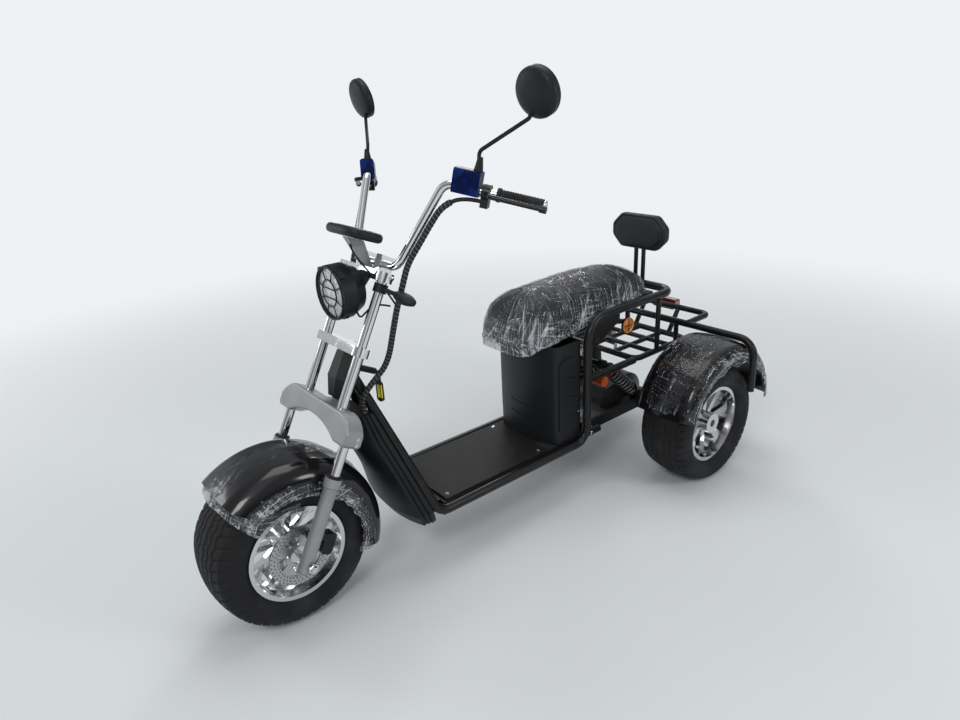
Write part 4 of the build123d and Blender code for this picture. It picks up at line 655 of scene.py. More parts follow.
def drilled_disc(name, axle, face, thick, inner, outer, rows, count, hole, material):
    """A flat ring with rows of round holes, one to a cell, every second row shifted by half a cell."""
    corners = 16
    turns = np.arange(corners) / corners * math.tau + math.pi / 4
    square = np.stack([np.cos(turns), np.sin(turns)], axis=1)
    square /= np.abs(square).max(axis=1, keepdims=True)
    step = (outer - inner) / rows
    verts, quads = [], []
    for row in range(rows):
        middle = inner + step * (row + 0.5)
        for k in range(count):
            turn = (k + 0.5 * (row % 2)) / count * math.tau
            base = len(verts)
            for side in (0, 1):
                x = axle.x + face + thick * side
                for q in range(corners):
                    r = middle + square[q][1] * step / 2
                    a = turn + square[q][0] * math.pi / count
                    verts.append((x, axle.y + r * math.cos(a), axle.z + r * math.sin(a)))
                for q in range(corners):
                    r = middle + hole * math.sin(turns[q])
                    a = turn + hole * math.cos(turns[q]) / middle
                    verts.append((x, axle.y + r * math.cos(a), axle.z + r * math.sin(a)))
            for q in range(corners):
                n = (q + 1) % corners
                for side in (0, 1):
                    low = base + side * 2 * corners
                    quads.append((low + q, low + n, low + corners + n, low + corners + q))
                near, far = base + corners, base + 3 * corners
                quads.append((near + q, near + n, far + n, far + q))
    segments = count * 8
    for r in (inner, outer):
        base = len(verts)
        for q in range(segments):
            a = q / segments * math.tau
            for side in (0, 1):
                verts.append((axle.x + face + thick * side, axle.y + r * math.cos(a), axle.z + r * math.sin(a)))
        for q in range(segments):
            n = (q + 1) % segments
            quads.append((base + 2 * q, base + 2 * n, base + 2 * n + 1, base + 2 * q + 1))
    mesh = bpy.data.meshes.new(name)
    mesh.from_pydata(verts, [], quads)
    return face_outwards(new_object(name, mesh, material, smooth=False))


class CHOPPER_OT_brake(bpy.types.Operator):
    """The drilled brake disc, its arms and the fork's dust rings"""
    bl_idname = "chopper.brake"
    bl_label = "Brake disc"

    def execute(self, context):
        low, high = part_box("front_disc")
        outer = (high.z - low.z) / 2
        ring = drilled_disc("brake_disc", FRONT_AXLE, low.x, high.x - low.x, inner=0.060, outer=outer, rows=3,
                            count=40, hole=0.0024, material=disc_steel())
        settle(ring, "front_wheel", "disc_steel", "front_disc")
        self.carrier(low.x, high.x - low.x)
        for side, name in SIDES:
            line = circle(at_fork(side * 156, 242, -8), ACROSS, FORK_REAR, 0.0172, 40)
            dust = tube(f"dust_ring_{name}", line, 0.0042, black_rubber(), sides=10, ends=False)
            settle(dust, "steering", "black_rubber")
        return {"FINISHED"}

    def carrier(self, face, thick):
        """Five arms between the hub's ring and the drilled ring."""
        turns = np.arange(240) / 240 * math.tau
        points = []
        wide = 0.5 + 0.5 * np.cos(turns * 5)
        reach = 0.040 + 0.0225 * np.clip((wide - 0.45) / 0.3, 0, 1)
        for x, share in ((0.001, 0.0), (0.001, 1.0), (thick - 0.001, 1.0), (thick - 0.001, 0.0)):
            r = 0.026 + (reach - 0.026) * share
            points.append(np.stack([turns * 0 + FRONT_AXLE.x + face + x, FRONT_AXLE.y + r * np.cos(turns),
                                    FRONT_AXLE.z + r * np.sin(turns)], axis=1))
        piece = grid("disc_carrier", np.array(points), disc_steel(), wrap_rows=True, wrap_columns=True,
                     smooth=False)
        settle(face_outwards(piece), "front_wheel", "disc_steel")


# Clear film


def film_creases(along, across, seed, closed=None):
    """Height of the film's larger creases, about -0.3 to 1, from places in metres on its own map."""
    if closed is not None:
        ring = closed * math.tau
        along = (math.cos(ring) * 0.32, math.sin(ring) * 0.32)
    else:
        along = (along, 0.0)
    u, w = along
    long_ridge = 1 - min(1.0, 6.0 * abs(noise.noise((u * 26 + seed, w * 26, across * 6.0))))
    crossed = noise.noise((u * 14 + across * 22, w * 14 + seed, across * 10 - u * 12))
    cross_ridge = 1 - min(1.0, 7.0 * abs(crossed))
    slack = noise.noise((u * 8 + seed, w * 8, across * 7))
    return 0.6 * long_ridge**2 + 0.45 * cross_ridge**2 + 0.35 * slack


def note_bunching(piece, bunch):
    """Writes how bunched the film is at each point, for its finish's painted glints and sheen; on the seat it is
    raised along the sides for painted sheen.
    """
    layer = piece.data.attributes.new("bunched", "FLOAT", "POINT")
    layer.data.foreach_set("value", bunch.ravel().astype(np.float32))


def guard_section(radius, half, skirt, crown, shoulder):
    """A mudguard's outer section, skirt to skirt over the crown, as distance across and radius."""
    corner = [(half - shoulder + shoulder * math.cos(a), radius - crown - shoulder + shoulder * math.sin(a))
              for a in np.linspace(0, math.pi / 2, 12)]
    top = arc3((half - shoulder, radius - crown), (0, radius), (shoulder - half, radius - crown), 18)
    right = [(half, radius - skirt)] + corner + top[1:9]
    return right + [(0, radius)] + [(-x, r) for x, r in reversed(right)]


def turn_from(piece, centre):
    """Turns an open sheet's faces away from a point."""
    lean = sum(face.normal.dot(face.center - centre) * face.area for face in piece.data.polygons)
    if lean < 0:
        piece.data.flip_normals()
    return piece


def guard_film(name, axle, section, first, last, rear_wards, seed, columns, rows, curl, sizes):
    """A film over a mudguard: pulled over the crown, bunched at its two lips and along its lower edges."""
    line, marks = spaced(section, columns)
    width = marks[-1]
    angles = np.radians(np.linspace(first, last, rows))
    top = max(r for _, r in section)
    span = abs(angles[-1] - angles[0]) * top
    points = np.zeros((rows, columns, 3))
    bunch = np.zeros((rows, columns))
    for i, angle in enumerate(angles):
        near_lip = min(i, rows - 1 - i) / rows
        lip = max(0.0, 1 - near_lip / 0.055)
        for j, (x, r) in enumerate(line):
            from_edge = min(j, columns - 1 - j) / columns
            edge = max(0.0, 1 - from_edge / 0.16)
            patch = max(0.0, noise.noise((angle * 3, x * 12, seed)))
            # how gathered the film is, which also sets its painted glints and sheen
            bunch[i, j] = min(1.0, 0.10 + lip + 0.9 * edge + 0.25 * patch)
            along = i / rows * span
            across = j / columns * width
            height = film_creases(along, across, seed)
            lift = sizes.wrap_lift + sizes.crease * (0.7 + 0.7 * lip + 0.55 * edge) * max(-0.3, height)
            before = line[max(0, j - 1)]
            after = line[min(columns - 1, j + 1)]
            way = Vector((after[1] - before[1], before[0] - after[0])).normalized()
            if way.dot(Vector((x, r - top * 0.7))) < 0:
                way = -way
            out_x = x + way.x * lift
            out_r = r + way.y * lift - curl * lip * lip
            out_r -= edge * edge * 0.008 * (1 + 0.8 * noise.noise((along * 30, seed, 1.0)))
            points[i, j] = (axle.x + out_x, axle.y + rear_wards * out_r * math.cos(angle),
                            axle.z + out_r * math.sin(angle))
    piece = grid(name, points, clear_wrap(), map_step=(span / rows, width / columns))
    note_bunching(piece, bunch)
    return turn_from(piece, axle)


class CHOPPER_OT_front_film(bpy.types.Operator):
    """Clear film left on the front mudguard, with its loose flaps"""
    bl_idname = "chopper.front_film"
    bl_label = "Front mudguard film"

    def execute(self, context):
        sizes = context.scene.chopper_sizes
        section = guard_section(radius=0.268, half=0.124, skirt=0.082, crown=0.014, shoulder=0.062)
        piece = guard_film("front_guard_film", FRONT_AXLE, section, first=48, last=200, rear_wards=-1, seed=2.3,
                           columns=150, rows=190, curl=0.012, sizes=sizes)
        settle(piece, "steering", "gloss_black")
        self.flap("front_film_flap", [(-0.905, 0.432), (-0.862, 0.398), (-0.800, 0.388), (-0.735, 0.388)],
                  [0.012, 0.052, 0.066, 0.020], 0.1285, 4.1)
        self.flap("rear_film_flap", [(-0.600, 0.352), (-0.566, 0.306), (-0.545, 0.262), (-0.533, 0.206)],
                  [0.030, 0.052, 0.060, 0.052], 0.1285, 8.7)
        return {"FINISHED"}

    def flap(self, name, top, drops, across, seed):
        """A loose strip of film that hangs from the guard's lower edge beside the wheel."""
        rows, columns = 60, 26
        marks = np.linspace(0, 1, len(top))
        points = np.zeros((rows, columns, 3))
        for i, t in enumerate(np.linspace(0, 1, rows)):
            y = eased(t, marks, [p[0] for p in top])
            z = eased(t, marks, [p[1] for p in top])
            drop = eased(t, marks, drops)
            for j, s in enumerate(np.linspace(0, 1, columns)):
                ripple = film_creases(t * 0.3, s * 0.1, seed) * 0.0045 * (0.3 + s)
                wave = 0.35 * noise.noise((t * 7, s * 2, seed))
                hang = (drop + 0.006) * s * (1 + 0.2 * wave)
                points[i, j] = (across - 0.008 * s + ripple, y + 0.006 * wave, z + 0.006 - hang)
        piece = grid(name, points, clear_wrap(), map_step=(0.34 / rows, 0.07 / columns))
        # an even gathering that sets the flap's painted glints and sheen
        note_bunching(piece, np.full((rows, columns), 0.55))
        turn_from(piece, FRONT_AXLE)
        settle(piece, "steering", "gloss_black")


class CHOPPER_OT_rear_films(bpy.types.Operator):
    """Clear film left on the rear mudguards"""
    bl_idname = "chopper.rear_films"
    bl_label = "Rear mudguard films"

    def execute(self, context):
        sizes = context.scene.chopper_sizes
        section = guard_section(radius=0.266, half=0.112, skirt=0.042, crown=0.008, shoulder=0.038)
        for side, name in SIDES:
            node = f"mudguard_{name}"
            axle = Vector((side * 0.353, 0.710, 0.240))
            piece = guard_film(f"{node}_film", axle, section, first=3, last=166, rear_wards=1, seed=5.9 + side,
                               columns=110, rows=200, curl=0.006, sizes=sizes)
            settle(piece, "frame", "gloss_black")
            self.flap(f"{node}_flap", axle, side)
        return {"FINISHED"}

    def flap(self, name, axle, side):
        """Film that hangs below the outer skirt, over the tyre's top."""
        rows, columns = 70, 22
        points = np.zeros((rows, columns, 3))
        for i, t in enumerate(np.linspace(0, 1, rows)):
            angle = math.radians(24 + 120 * t)
            drop = 0.030 * math.sin(math.pi * t) ** 0.6 * (1 + 0.5 * noise.noise((t * 9, side, 2.0)))
            for j, s in enumerate(np.linspace(0, 1, columns)):
                ripple = film_creases(t * 0.5, s * 0.1, 3.0 + side) * 0.005 * (0.3 + s)
                r = 0.228 - (drop + 0.004) * s
                x = axle.x + side * (0.1145 + ripple - 0.002 * s)
                points[i, j] = (x, axle.y + r * math.cos(angle), axle.z + r * math.sin(angle))
        piece = grid(name, points, clear_wrap(), map_step=(0.47 / rows, 0.04 / columns))
        # an even gathering that sets the flap's painted glints and sheen
        note_bunching(piece, np.full((rows, columns), 0.7))
        turn_from(piece, Vector((0, axle.y, axle.z)))
        settle(piece, "frame", "gloss_black")


# Seat

# columns in metres: place along the seat, low edge, crown
seat_heights = np.array([
    (0.020, 0.600, 0.690), (0.070, 0.594, 0.712), (0.160, 0.602, 0.724), (0.275, 0.619, 0.728),
    (0.537, 0.642, 0.729), (0.650, 0.643, 0.716), (0.730, 0.645, 0.694),
])
# columns in metres: place along the seat, lower edge of the film
seat_film_low = np.array([
    (0.020, 0.574), (0.060, 0.553), (0.095, 0.550), (0.118, 0.562), (0.180, 0.574), (0.494, 0.619),
    (0.690, 0.640), (0.730, 0.640),
])
seat_nose, seat_tail, seat_half = 0.026, 0.725, 0.1355
nose_run, tail_run = 0.190, 0.160
seat_centre = (0, 0.37, 0.62)
seat_seam = 0.15
hem_rows = 10


def seat_half_at(y):
    """Half the seat's width at a place along it: a round nose and a blunter tail."""
    ahead = min(1.0, (y - seat_nose) / nose_run)
    behind = min(1.0, (seat_tail - y) / tail_run)
    return seat_half * (1 - (1 - ahead) ** 2.1) ** (1 / 2.1) * (1 - (1 - behind) ** 2.2) ** (1 / 2.2)


def seat_outline(count):
    """The seat's plan, from the nose's tip down its left side to the tail and back up the right."""
    ease = (1 - np.cos(np.linspace(0, math.pi, 240))) / 2
    ys = seat_nose + (seat_tail - seat_nose) * ease
    left = [(seat_half_at(y), y) for y in ys]
    line, marks = spaced(left + [(-x, y) for x, y in reversed(left[:-1])], count + 1)
    return line[:-1], marks[-1]


def seat_point(x, y, share):
    """A place on the seat's skin: share is 0 at the outline's low edge and 1 on the spine."""
    spine = min(max(y, seat_nose + 0.15), seat_tail - 0.16)
    low = float(eased(y, seat_heights[:, 0], seat_heights[:, 1]))
    crown = float(eased(spine, seat_heights[:, 0], seat_heights[:, 2]))
    edge_crown = float(eased(y, seat_heights[:, 0], seat_heights[:, 2]))
    seam = low + 0.66 * (edge_crown - low)
    if share < seat_seam:
        rise = share / seat_seam
        z = low + (seam - low) * rise
        share = seat_seam * rise**1.6
    else:
        rise = (share - seat_seam) / (1 - seat_seam)
        z = seam + (crown - seam) * (1 - (1 - rise) ** 2)
    return Vector((x * (1 - share), y + (spine - y) * share, z))


def baked(piece):
    """A piece's mesh with its modifiers in it."""
    return bpy.data.meshes.new_from_object(piece.evaluated_get(bpy.context.evaluated_depsgraph_get()))


def puff(piece, voxel, cap, lowest):
    """Swells a closed pad as pressed cloth, keeps its underside flat, and limits how far a point moves."""
    remesh = piece.modifiers.new("voxels", "REMESH")
    remesh.mode = "VOXEL"
    remesh.voxel_size = voxel
    body = baked(piece)
    piece.modifiers.clear()
    piece.data = body
    start = np.array([vertex.co[:] for vertex in body.vertices])
    ways = np.array([vertex.normal[:] for vertex in body.vertices])
    cloth = piece.modifiers.new("swell", "CLOTH")
    cloth.settings.quality = 5
    cloth.settings.mass = 0.3
    cloth.settings.use_pressure = True
    cloth.settings.uniform_pressure_force = 4.0
    cloth.settings.effector_weights.gravity = 0.0
    scene = bpy.context.scene
    for step in range(1, 21):
        scene.frame_set(step)
    ended = np.array([vertex.co[:] for vertex in baked(piece).vertices])
    piece.modifiers.clear()
    scene.frame_set(1)
    moved = ended - start
    reach = np.linalg.norm(moved, axis=1, keepdims=True)
    moved *= np.minimum(1.0, cap / np.maximum(reach, 1e-9))
    moved[ways[:, 2] < lowest] = 0.0
    body.vertices.foreach_set("co", (start + moved).ravel())
    body.update()
    smooth = piece.modifiers.new("smooth", "SUBSURF")
    smooth.levels = 1
    smooth.render_levels = 1
    piece.data = baked(piece)
    piece.modifiers.clear()
    piece.data.polygons.foreach_set("use_smooth", [True] * len(piece.data.polygons))
    return piece


class CHOPPER_OT_seat(bpy.types.Operator):
    """The padded seat, its welt, the film round it and its base"""
    bl_idname = "chopper.seat"
    bl_label = "Seat"

    def execute(self, context):
        outline, _ = seat_outline(200)
        rings = []
        for inset in (1.0, 0.6, 0.2, 0.03):
            rings.append([list(seat_point(x, y, inset).xy) + [seat_point(x, y, 0).z] for x, y in outline])
        for share in np.concatenate([np.linspace(0, seat_seam, 8), np.linspace(seat_seam, 1, 22)[1:]]):
            rings.append([list(seat_point(x, y, share)) for x, y in outline])
        piece = skin("seat_pad", rings, seat_leather())
        puff(piece, voxel=0.0065, cap=0.006, lowest=-0.75)
        settle(piece, "seat", "seat_leather", "seat_cushion")
        faces = [face.vertices[:] for face in piece.data.polygons]
        hull = BVHTree.FromPolygons([vertex.co for vertex in piece.data.vertices], faces)
        self.welt(hull, outline)
        self.film(piece, hull, context.scene.chopper_sizes)
        self.base()
        return {"FINISHED"}

    def base(self):
        """The base with its two front corners drawn in under the pad's round nose."""
        source = nodes["seat_base"]
        mesh = source.data.copy()
        mesh.transform(source.matrix_world)
        for vertex in mesh.vertices:
            if abs(vertex.co.x) > 0.12 and vertex.co.y < 0.15:
                vertex.co.x = math.copysign(seat_half_at(vertex.co.y) - 0.012, vertex.co.x)
        piece = face_outwards(new_object("seat_base_plate", mesh, smooth=False))
        settle(piece, "seat", slot_of["seat_base"], "seat_base")

    def welt(self, hull, outline):
        """A welt along the seam between the crown and the side."""
        ring = [hull.find_nearest(seat_point(x, y, seat_seam))[0] for x, y in outline]
        line, _ = spaced(ring + ring[:1], step=0.008)
        for _ in range(3):
            body = line[:-1]
            body = (np.roll(body, 1, axis=0) + 2 * body + np.roll(body, -1, axis=0)) / 4
            line = np.concatenate([body, body[:1]])
        settle(tube("seat_welt", line, 0.0030, seat_leather(), sides=10, ends=False), "seat", "seat_leather")

    def film(self, pad, hull, sizes):
        """The film that was left on: pulled over the crown and gathered below the edge."""
        columns = 430
        outline, around = seat_outline(columns)
        step = 0.0026
        shares = np.concatenate([np.zeros(hem_rows), np.linspace(0, seat_seam, 34),
                                 np.linspace(seat_seam, 0.995, 52)[1:]])
        points = np.zeros((len(shares), columns, 3))
        bunch = np.zeros((len(shares), columns))
        for j, (x, y) in enumerate(outline):
            hem = float(eased(y, seat_film_low[:, 0], seat_film_low[:, 1]))
            low = float(eased(y, seat_heights[:, 0], seat_heights[:, 1]))
            start = min(hem, low)
            edge = Vector((x, y - seat_centre[1], 0)).normalized()
            for i, share in enumerate(shares):
                height = film_creases(j / columns * around, step * i, 11.0, j / columns)
                gathered = max(0.0, 1 - i / 26)
                lift = sizes.wrap_lift + sizes.crease * (0.8 + 0.5 * gathered) * max(-0.35, height)
                # painted sheen: the film along the seat's sides is marked as more gathered so it renders paler, as
                # if lit from the side
                lit_side_sheen = min(1.0, max(0.0, 1 - (i - 36) / 14))
                bunch[i, j] = 0.28 + 0.27 * lit_side_sheen + 0.45 * gathered
                if i < hem_rows:
                    z = start + (low - start) * i / (hem_rows - 1)
                    inward = 0.004 * (1 - i / (hem_rows - 1))
                    points[i, j] = Vector((x, y, z)) + edge * (lift - inward)
                else:
                    near, way, _, _ = hull.find_nearest(seat_point(x, y, share))
                    points[i, j] = near + way * lift
        piece = grid("seat_film", points, clear_wrap(), wrap_columns=True, map_step=(step, around / columns))
        note_bunching(piece, bunch)
        turn_from(piece, Vector(seat_centre))
        settle(piece, "seat", "seat_leather")


class CHOPPER_OT_backrest(bpy.types.Operator):
    """The eight-sided backrest pad with its raised panel"""
    bl_idname = "chopper.backrest"
    bl_label = "Backrest"

    def execute(self, context):
        low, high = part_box("backrest_pad")
        centre = (low + high) / 2
        wide = (high.x - low.x) / 2
        tall = (high.z - low.z) / 2
        corner = 0.042
        half = [(wide, corner - tall), (wide, tall - corner), (wide - corner, tall), (corner - wide, tall)]
        outline = half + [(-x, -z) for x, z in half]
        line = spaced(outline + outline[:1], 161)[0][:-1]
        for _ in range(5):
            line = (np.roll(line, 1, axis=0) + 2 * line + np.roll(line, -1, axis=0)) / 4
        deep = high.y - low.y
        # inset from the outline and depth from the front face, ring by ring
        rings = [(1.0, deep - 0.001), (0.45, deep - 0.001), (0.09, deep - 0.002), (0.035, deep - 0.006),
                 (0.006, deep * 0.72), (0.0, deep * 0.5), (0.010, deep * 0.30), (0.030, 0.0105),
                 (0.075, 0.0072), (0.115, 0.0070), (0.128, 0.0105), (0.141, 0.0070), (0.165, 0.0040),
                 (0.24, 0.0016), (0.45, 0.0004), (1.0, 0.0)]
        points = []
        for inset, depth in rings:
            drawn = line * (1 - inset)
            points.append([(centre.x + x, low.y + depth, centre.z + z) for x, z in drawn])
        piece = skin("backrest_padding", points, seat_leather())
        smooth = piece.modifiers.new("smooth", "SUBSURF")
        smooth.levels = 2
        smooth.render_levels = 2
        settle(piece, body_of["backrest_pad"], "seat_leather", "backrest_pad")
        return {"FINISHED"}


# Wiring

# Places in millimetres. The two looms leave the switch boxes alike
loom_left_route = [
    (264.0, -203.2, 1093.3), (223.5, -230.4, 1104.4), (192.0, -271.2, 1084.5), (174.0, -293.8, 1046.7),
    (156.0, -324.3, 993.8), (133.0, -352.1, 940.6), (131.0, -371.4, 886.4), (125.0, -389.3, 834.8),
    (108.0, -396.7, 773.2), (76.0, -405.8, 667.4), (68.0, -451.2, 625.7), (52.0, -494.8, 573.0),
    (52.0, -480.4, 530.4),
]
loom_lamp_route = [(-x, y, z) for x, y, z in loom_left_route[:6]] + [
    (-131.0, -369.4, 894.4), (-108.0, -375.3, 865.9), (-72.0, -387.1, 860.7), (-46.0, -405.7, 868.2),
    (-46.0, -437.7, 868.2),
]


def loom(name, route, smooth_run, pitch):
    """A wire bundle: smooth for a run, then in a spiral band whose edge stands proud."""
    line, marks = spaced(bend_through([Vector(p) * MM for p in route]), step=0.0011)
    sides = 18
    turn = np.arange(sides) / sides
    phase = (marks[:, None] / pitch + turn[None, :]) % 1
    band = np.clip(np.minimum(phase, 1 - phase) / 0.12, 0, 1)
    wrapped = np.clip((marks - smooth_run) / 0.004, 0, 1)[:, None]
    radius = 0.0052 + wrapped * (0.0016 + 0.0016 * band)
    piece = tube(name, line, radius, loom_wrap(), sides=sides)
    # the map's second axis marks the band's edge, where the finish paints a pale glint
    layer = piece.data.uv_layers[0].data
    uv = np.zeros(len(layer) * 2, np.float32)
    layer.foreach_get("uv", uv)
    uv = uv.reshape(-1, 2)
    at = np.clip(uv[:, 0] - 1, 0, len(line) - 1)
    run = at * (marks[1] - marks[0])
    spiral = (run / pitch + uv[:, 1] / sides) % 1
    spiral = np.where(run > smooth_run, np.abs(spiral - 0.5) * 2, 0.0)
    uv[:, 1] = 0.5 + 0.5 * (1 - spiral)
    layer.foreach_set("uv", uv.ravel())
    return piece


class CHOPPER_OT_looms(bpy.types.Operator):
    """Wire bundles in spiral band and two thin cables"""
    bl_idname = "chopper.looms"
    bl_label = "Wiring"

    def execute(self, context):
        pitch = context.scene.chopper_sizes.loom_pitch
        smooth_run = 0.075
        left = loom("loom_left_bundle", loom_left_route, smooth_run, pitch)
        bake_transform(left)
        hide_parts("loom_left", "loom_shield")
        right = loom("loom_lamp_bundle", loom_lamp_route, smooth_run, pitch)
        settle(right, "steering", "black_rubber", "loom_lamp")
        dash = [(-4, -436, 996), (22, -448, 978), (66, -436, 936), (104, -408, 884), (121, -392, 842)]
        lamp = [(40, -462, 820), (56, -466, 804), (80, -456, 828), (98, -436, 850), (116, -404, 838)]
        for name, route in (("dash_cable", dash), ("lamp_cable", lamp)):
            line, _ = spaced(bend_through([Vector(p) * MM for p in route]), step=0.004)
            settle(tube(name, line, 0.0026, black_rubber(), sides=10), "steering", "black_rubber")
        return {"FINISHED"}


# Controls


class CHOPPER_OT_grips(bpy.types.Operator):
    """Ribbed grips with bright end caps"""
    bl_idname = "chopper.grips"
    bl_label = "Grips"

    def execute(self, context):
        bar_end = Vector((0.395, -0.115, 1.083))
        way = Vector((0.8089, 0.5445, -0.2217)).normalized()
        for side, name in SIDES:
            turned = Vector((side * way.x, way.y, way.z))
            end = Vector((side * bar_end.x, bar_end.y, bar_end.z))
            runs = np.arange(-0.118, 0.0005, 0.00055)
            ribs = np.clip(np.abs((runs / 0.0062) % 1 - 0.5) * 5 - 0.7, 0, 1)
            field = np.clip((runs + 0.098) / 0.002, 0, 1) * np.clip((-0.012 - runs) / 0.002, 0, 1)
            flange = np.clip((-0.108 - runs) / 0.002, 0, 1)
            radius = 0.0142 + 0.0013 * ribs * field + 0.0006 * (1 - field) + 0.0030 * flange
            line = [list(end + turned * float(run)) for run in runs]
            grip = tube(f"grip_{name}", line, radius[:, None], black_rubber(), sides=28)
            settle(grip, "steering", "black_rubber", "grips")
            runs = np.array([0.0004, 0.0012, 0.0050, 0.0072, 0.0080])
            radius = np.array([0.0132, 0.0144, 0.0144, 0.0126, 0.0080])
            line = [list(end + turned * float(run)) for run in runs]
            cap = tube(f"bar_cap_{name}", line, radius[:, None], chrome(), sides=28)
            settle(cap, "steering", "chrome")
        return {"FINISHED"}


# Mirrors, springs and reflectors


class CHOPPER_OT_mirror_backs(bpy.types.Operator):
    """Domed backs of the mirrors"""
    bl_idname = "chopper.mirror_backs"
    bl_label = "Mirror backs"

    def execute(self, context):
        low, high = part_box("mirror_glass")
        # radius and distance behind the glass, ring by ring
        back = [(0.0592, 0.004), (0.0597, 0.010), (0.0588, 0.0150), (0.0560, 0.0195), (0.0500, 0.0235),
                (0.0400, 0.0270), (0.0280, 0.0292), (0.0140, 0.0304), (0.0, 0.0308)]
        for side, name in SIDES:
            centre = Vector((side * 0.391, (low.y + high.y) / 2, (low.z + high.z) / 2))
            facing = Vector((-side * 0.10, math.cos(math.radians(14)), math.sin(math.radians(14)))).normalized()
            across = facing.cross(Vector((0, 0, 1))).normalized()
            above = across.cross(facing)
            rings = [circle(centre - facing * behind, across, above, radius, 72)[:-1]
                     for radius, behind in back]
            dome = skin(f"mirror_back_{name}", rings, black_plastic())
            settle(turn_from(dome, centre), "steering", "black_plastic")
        return {"FINISHED"}


class CHOPPER_OT_springs(bpy.types.Operator):
    """Coil springs and their rings on the shock absorbers"""
    bl_idname = "chopper.springs"
    bl_label = "Springs"

    def execute(self, context):
        head = Vector((0, 0.443, 0.418))
        way = Vector((0, 0.75097, -0.66034))
        side = Vector((0, 0.66034, 0.75097))
        coils = 8
        for sign, name in SIDES:
            top = head + Vector((sign * 0.108, 0, 0)) + way * 0.0483
            line = []
            for t in np.linspace(0, 1, coils * 30 + 1):
                a = t * coils * math.tau
                run = 0.0045 + 0.1615 * t
                line.append(list(top + way * run + (ACROSS * math.cos(a) + side * math.sin(a)) * 0.0222))
            wire = tube(f"spring_{name}", line, 0.0042, spring_steel(), sides=10)
            settle(wire, "frame", "spring_steel", "shock_springs")
            ring = circle(top - way * 0.004, ACROSS, side, 0.0262, 48)
            made = tube(f"spring_ring_{name}", ring, 0.0026, red_ring(), sides=8, ends=False)
            settle(made, "frame", "red_lens")
        return {"FINISHED"}


class CHOPPER_OT_reflectors(bpy.types.Operator):
    """Round amber reflectors with a cross in the lens"""
    bl_idname = "chopper.reflectors"
    bl_label = "Reflectors"

    def execute(self, context):
        # radius and height of the lens, ring by ring
        rings = [(0.0, 0.0012), (0.006, 0.0012), (0.021, 0.0010), (0.0235, 0.0004), (0.0245, 0.0026),
                 (0.0275, 0.0026), (0.0280, 0.0000)]
        turns = np.arange(96) * math.tau / 96
        for side, name in SIDES:
            centre = Vector((side * 0.166, 0.509, 0.563))
            points = []
            for r, lift in rings:
                row = []
                for a in turns:
                    y, z = r * math.cos(a), r * math.sin(a)
                    cross = max(0.0, 1 - min(abs(y), abs(z)) / 0.0022) if r < 0.022 else 0.0
                    row.append((centre.x + side * (lift + 0.0014 * cross), centre.y + y, centre.z + z))
                points.append(row)
            lens = skin(f"reflector_lens_{name}", points, amber_lens())
            turn_from(lens, Vector((0, centre.y, centre.z)))
            settle(lens, "frame", "amber_lens")
            for axis, cross in (((0, 1, 0), "level"), ((0, 0, 1), "upright")):
                reach = Vector(axis) * 0.0215
                front = centre + Vector((side * 0.0022, 0, 0))
                line = [list(front + reach * t) for t in (-1, 0, 1)]
                bar = tube(f"reflector_{cross}_{name}", line, 0.0016, black_plastic(), 8)
                settle(bar, "frame", "black_plastic")
        return {"FINISHED"}


# Lamp, display and key


def merge(name, pieces, material):
    """One piece made of several meshes."""
    body = bmesh.new()
    for piece in pieces:
        body.from_mesh(piece.data)
        bpy.data.objects.remove(piece)
    mesh = bpy.data.meshes.new(name)
    body.to_mesh(mesh)
    body.free()
    return new_object(name, mesh, material)


class CHOPPER_OT_lamp(bpy.types.Operator):
    """A domed glass and thin bars over the head lamp"""
    bl_idname = "chopper.lamp"
    bl_label = "Head lamp"

    def execute(self, context):
        low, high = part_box("lamp_lens")
        middle = (low.z + high.z) / 2
        reach = (high.x - low.x) / 2
        # share of the lens's radius and distance ahead of its back, ring by ring
        dome = [(0.0, 0.0), (1.0, 0.0), (1.0, 0.0060), (0.96, 0.0095), (0.80, 0.0115), (0.50, 0.0135),
                (0.20, 0.0145), (0.0, 0.0147)]
        rings = [circle(Vector((0, high.y - ahead, middle)), ACROSS, UPWARDS, reach * share, 72)[:-1]
                 for share, ahead in dome]
        glass = skin("lamp_dome", rings, lamp_glass())
        settle(glass, "steering", "lamp_glass", "lamp_lens")
        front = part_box("lamp_grille")[0].y
        bars = [self.ring(0.0700, 0.0031, front + 0.0031, middle)]
        bars.append(self.ring(0.0360, 0.0018, front + 0.0026, middle))
        for a in (np.arange(8) + 0.5) * math.tau / 8:
            ends = [(r * math.cos(a), front + 0.0031, middle + r * math.sin(a)) for r in (0.036, 0.053, 0.070)]
            bars.append(tube("bar", ends, 0.0016, black_plastic(), 8))
        for up in (0.0125, -0.0125):
            ends = [(x, front + 0.0026, middle + up) for x in (-0.0338, 0.0, 0.0338)]
            bars.append(tube("bar", ends, 0.0015, black_plastic(), 8))
        settle(merge("lamp_bars", bars, black_plastic()), "steering", slot_of["lamp_grille"], "lamp_grille")
        return {"FINISHED"}

    def ring(self, radius, thick, y, middle):
        """A bar bent into a ring round the lamp's middle."""
        line = circle(Vector((0, y, middle)), ACROSS, UPWARDS, radius, 72)
        return tube("bar", line, thick, black_plastic(), 10, ends=False)


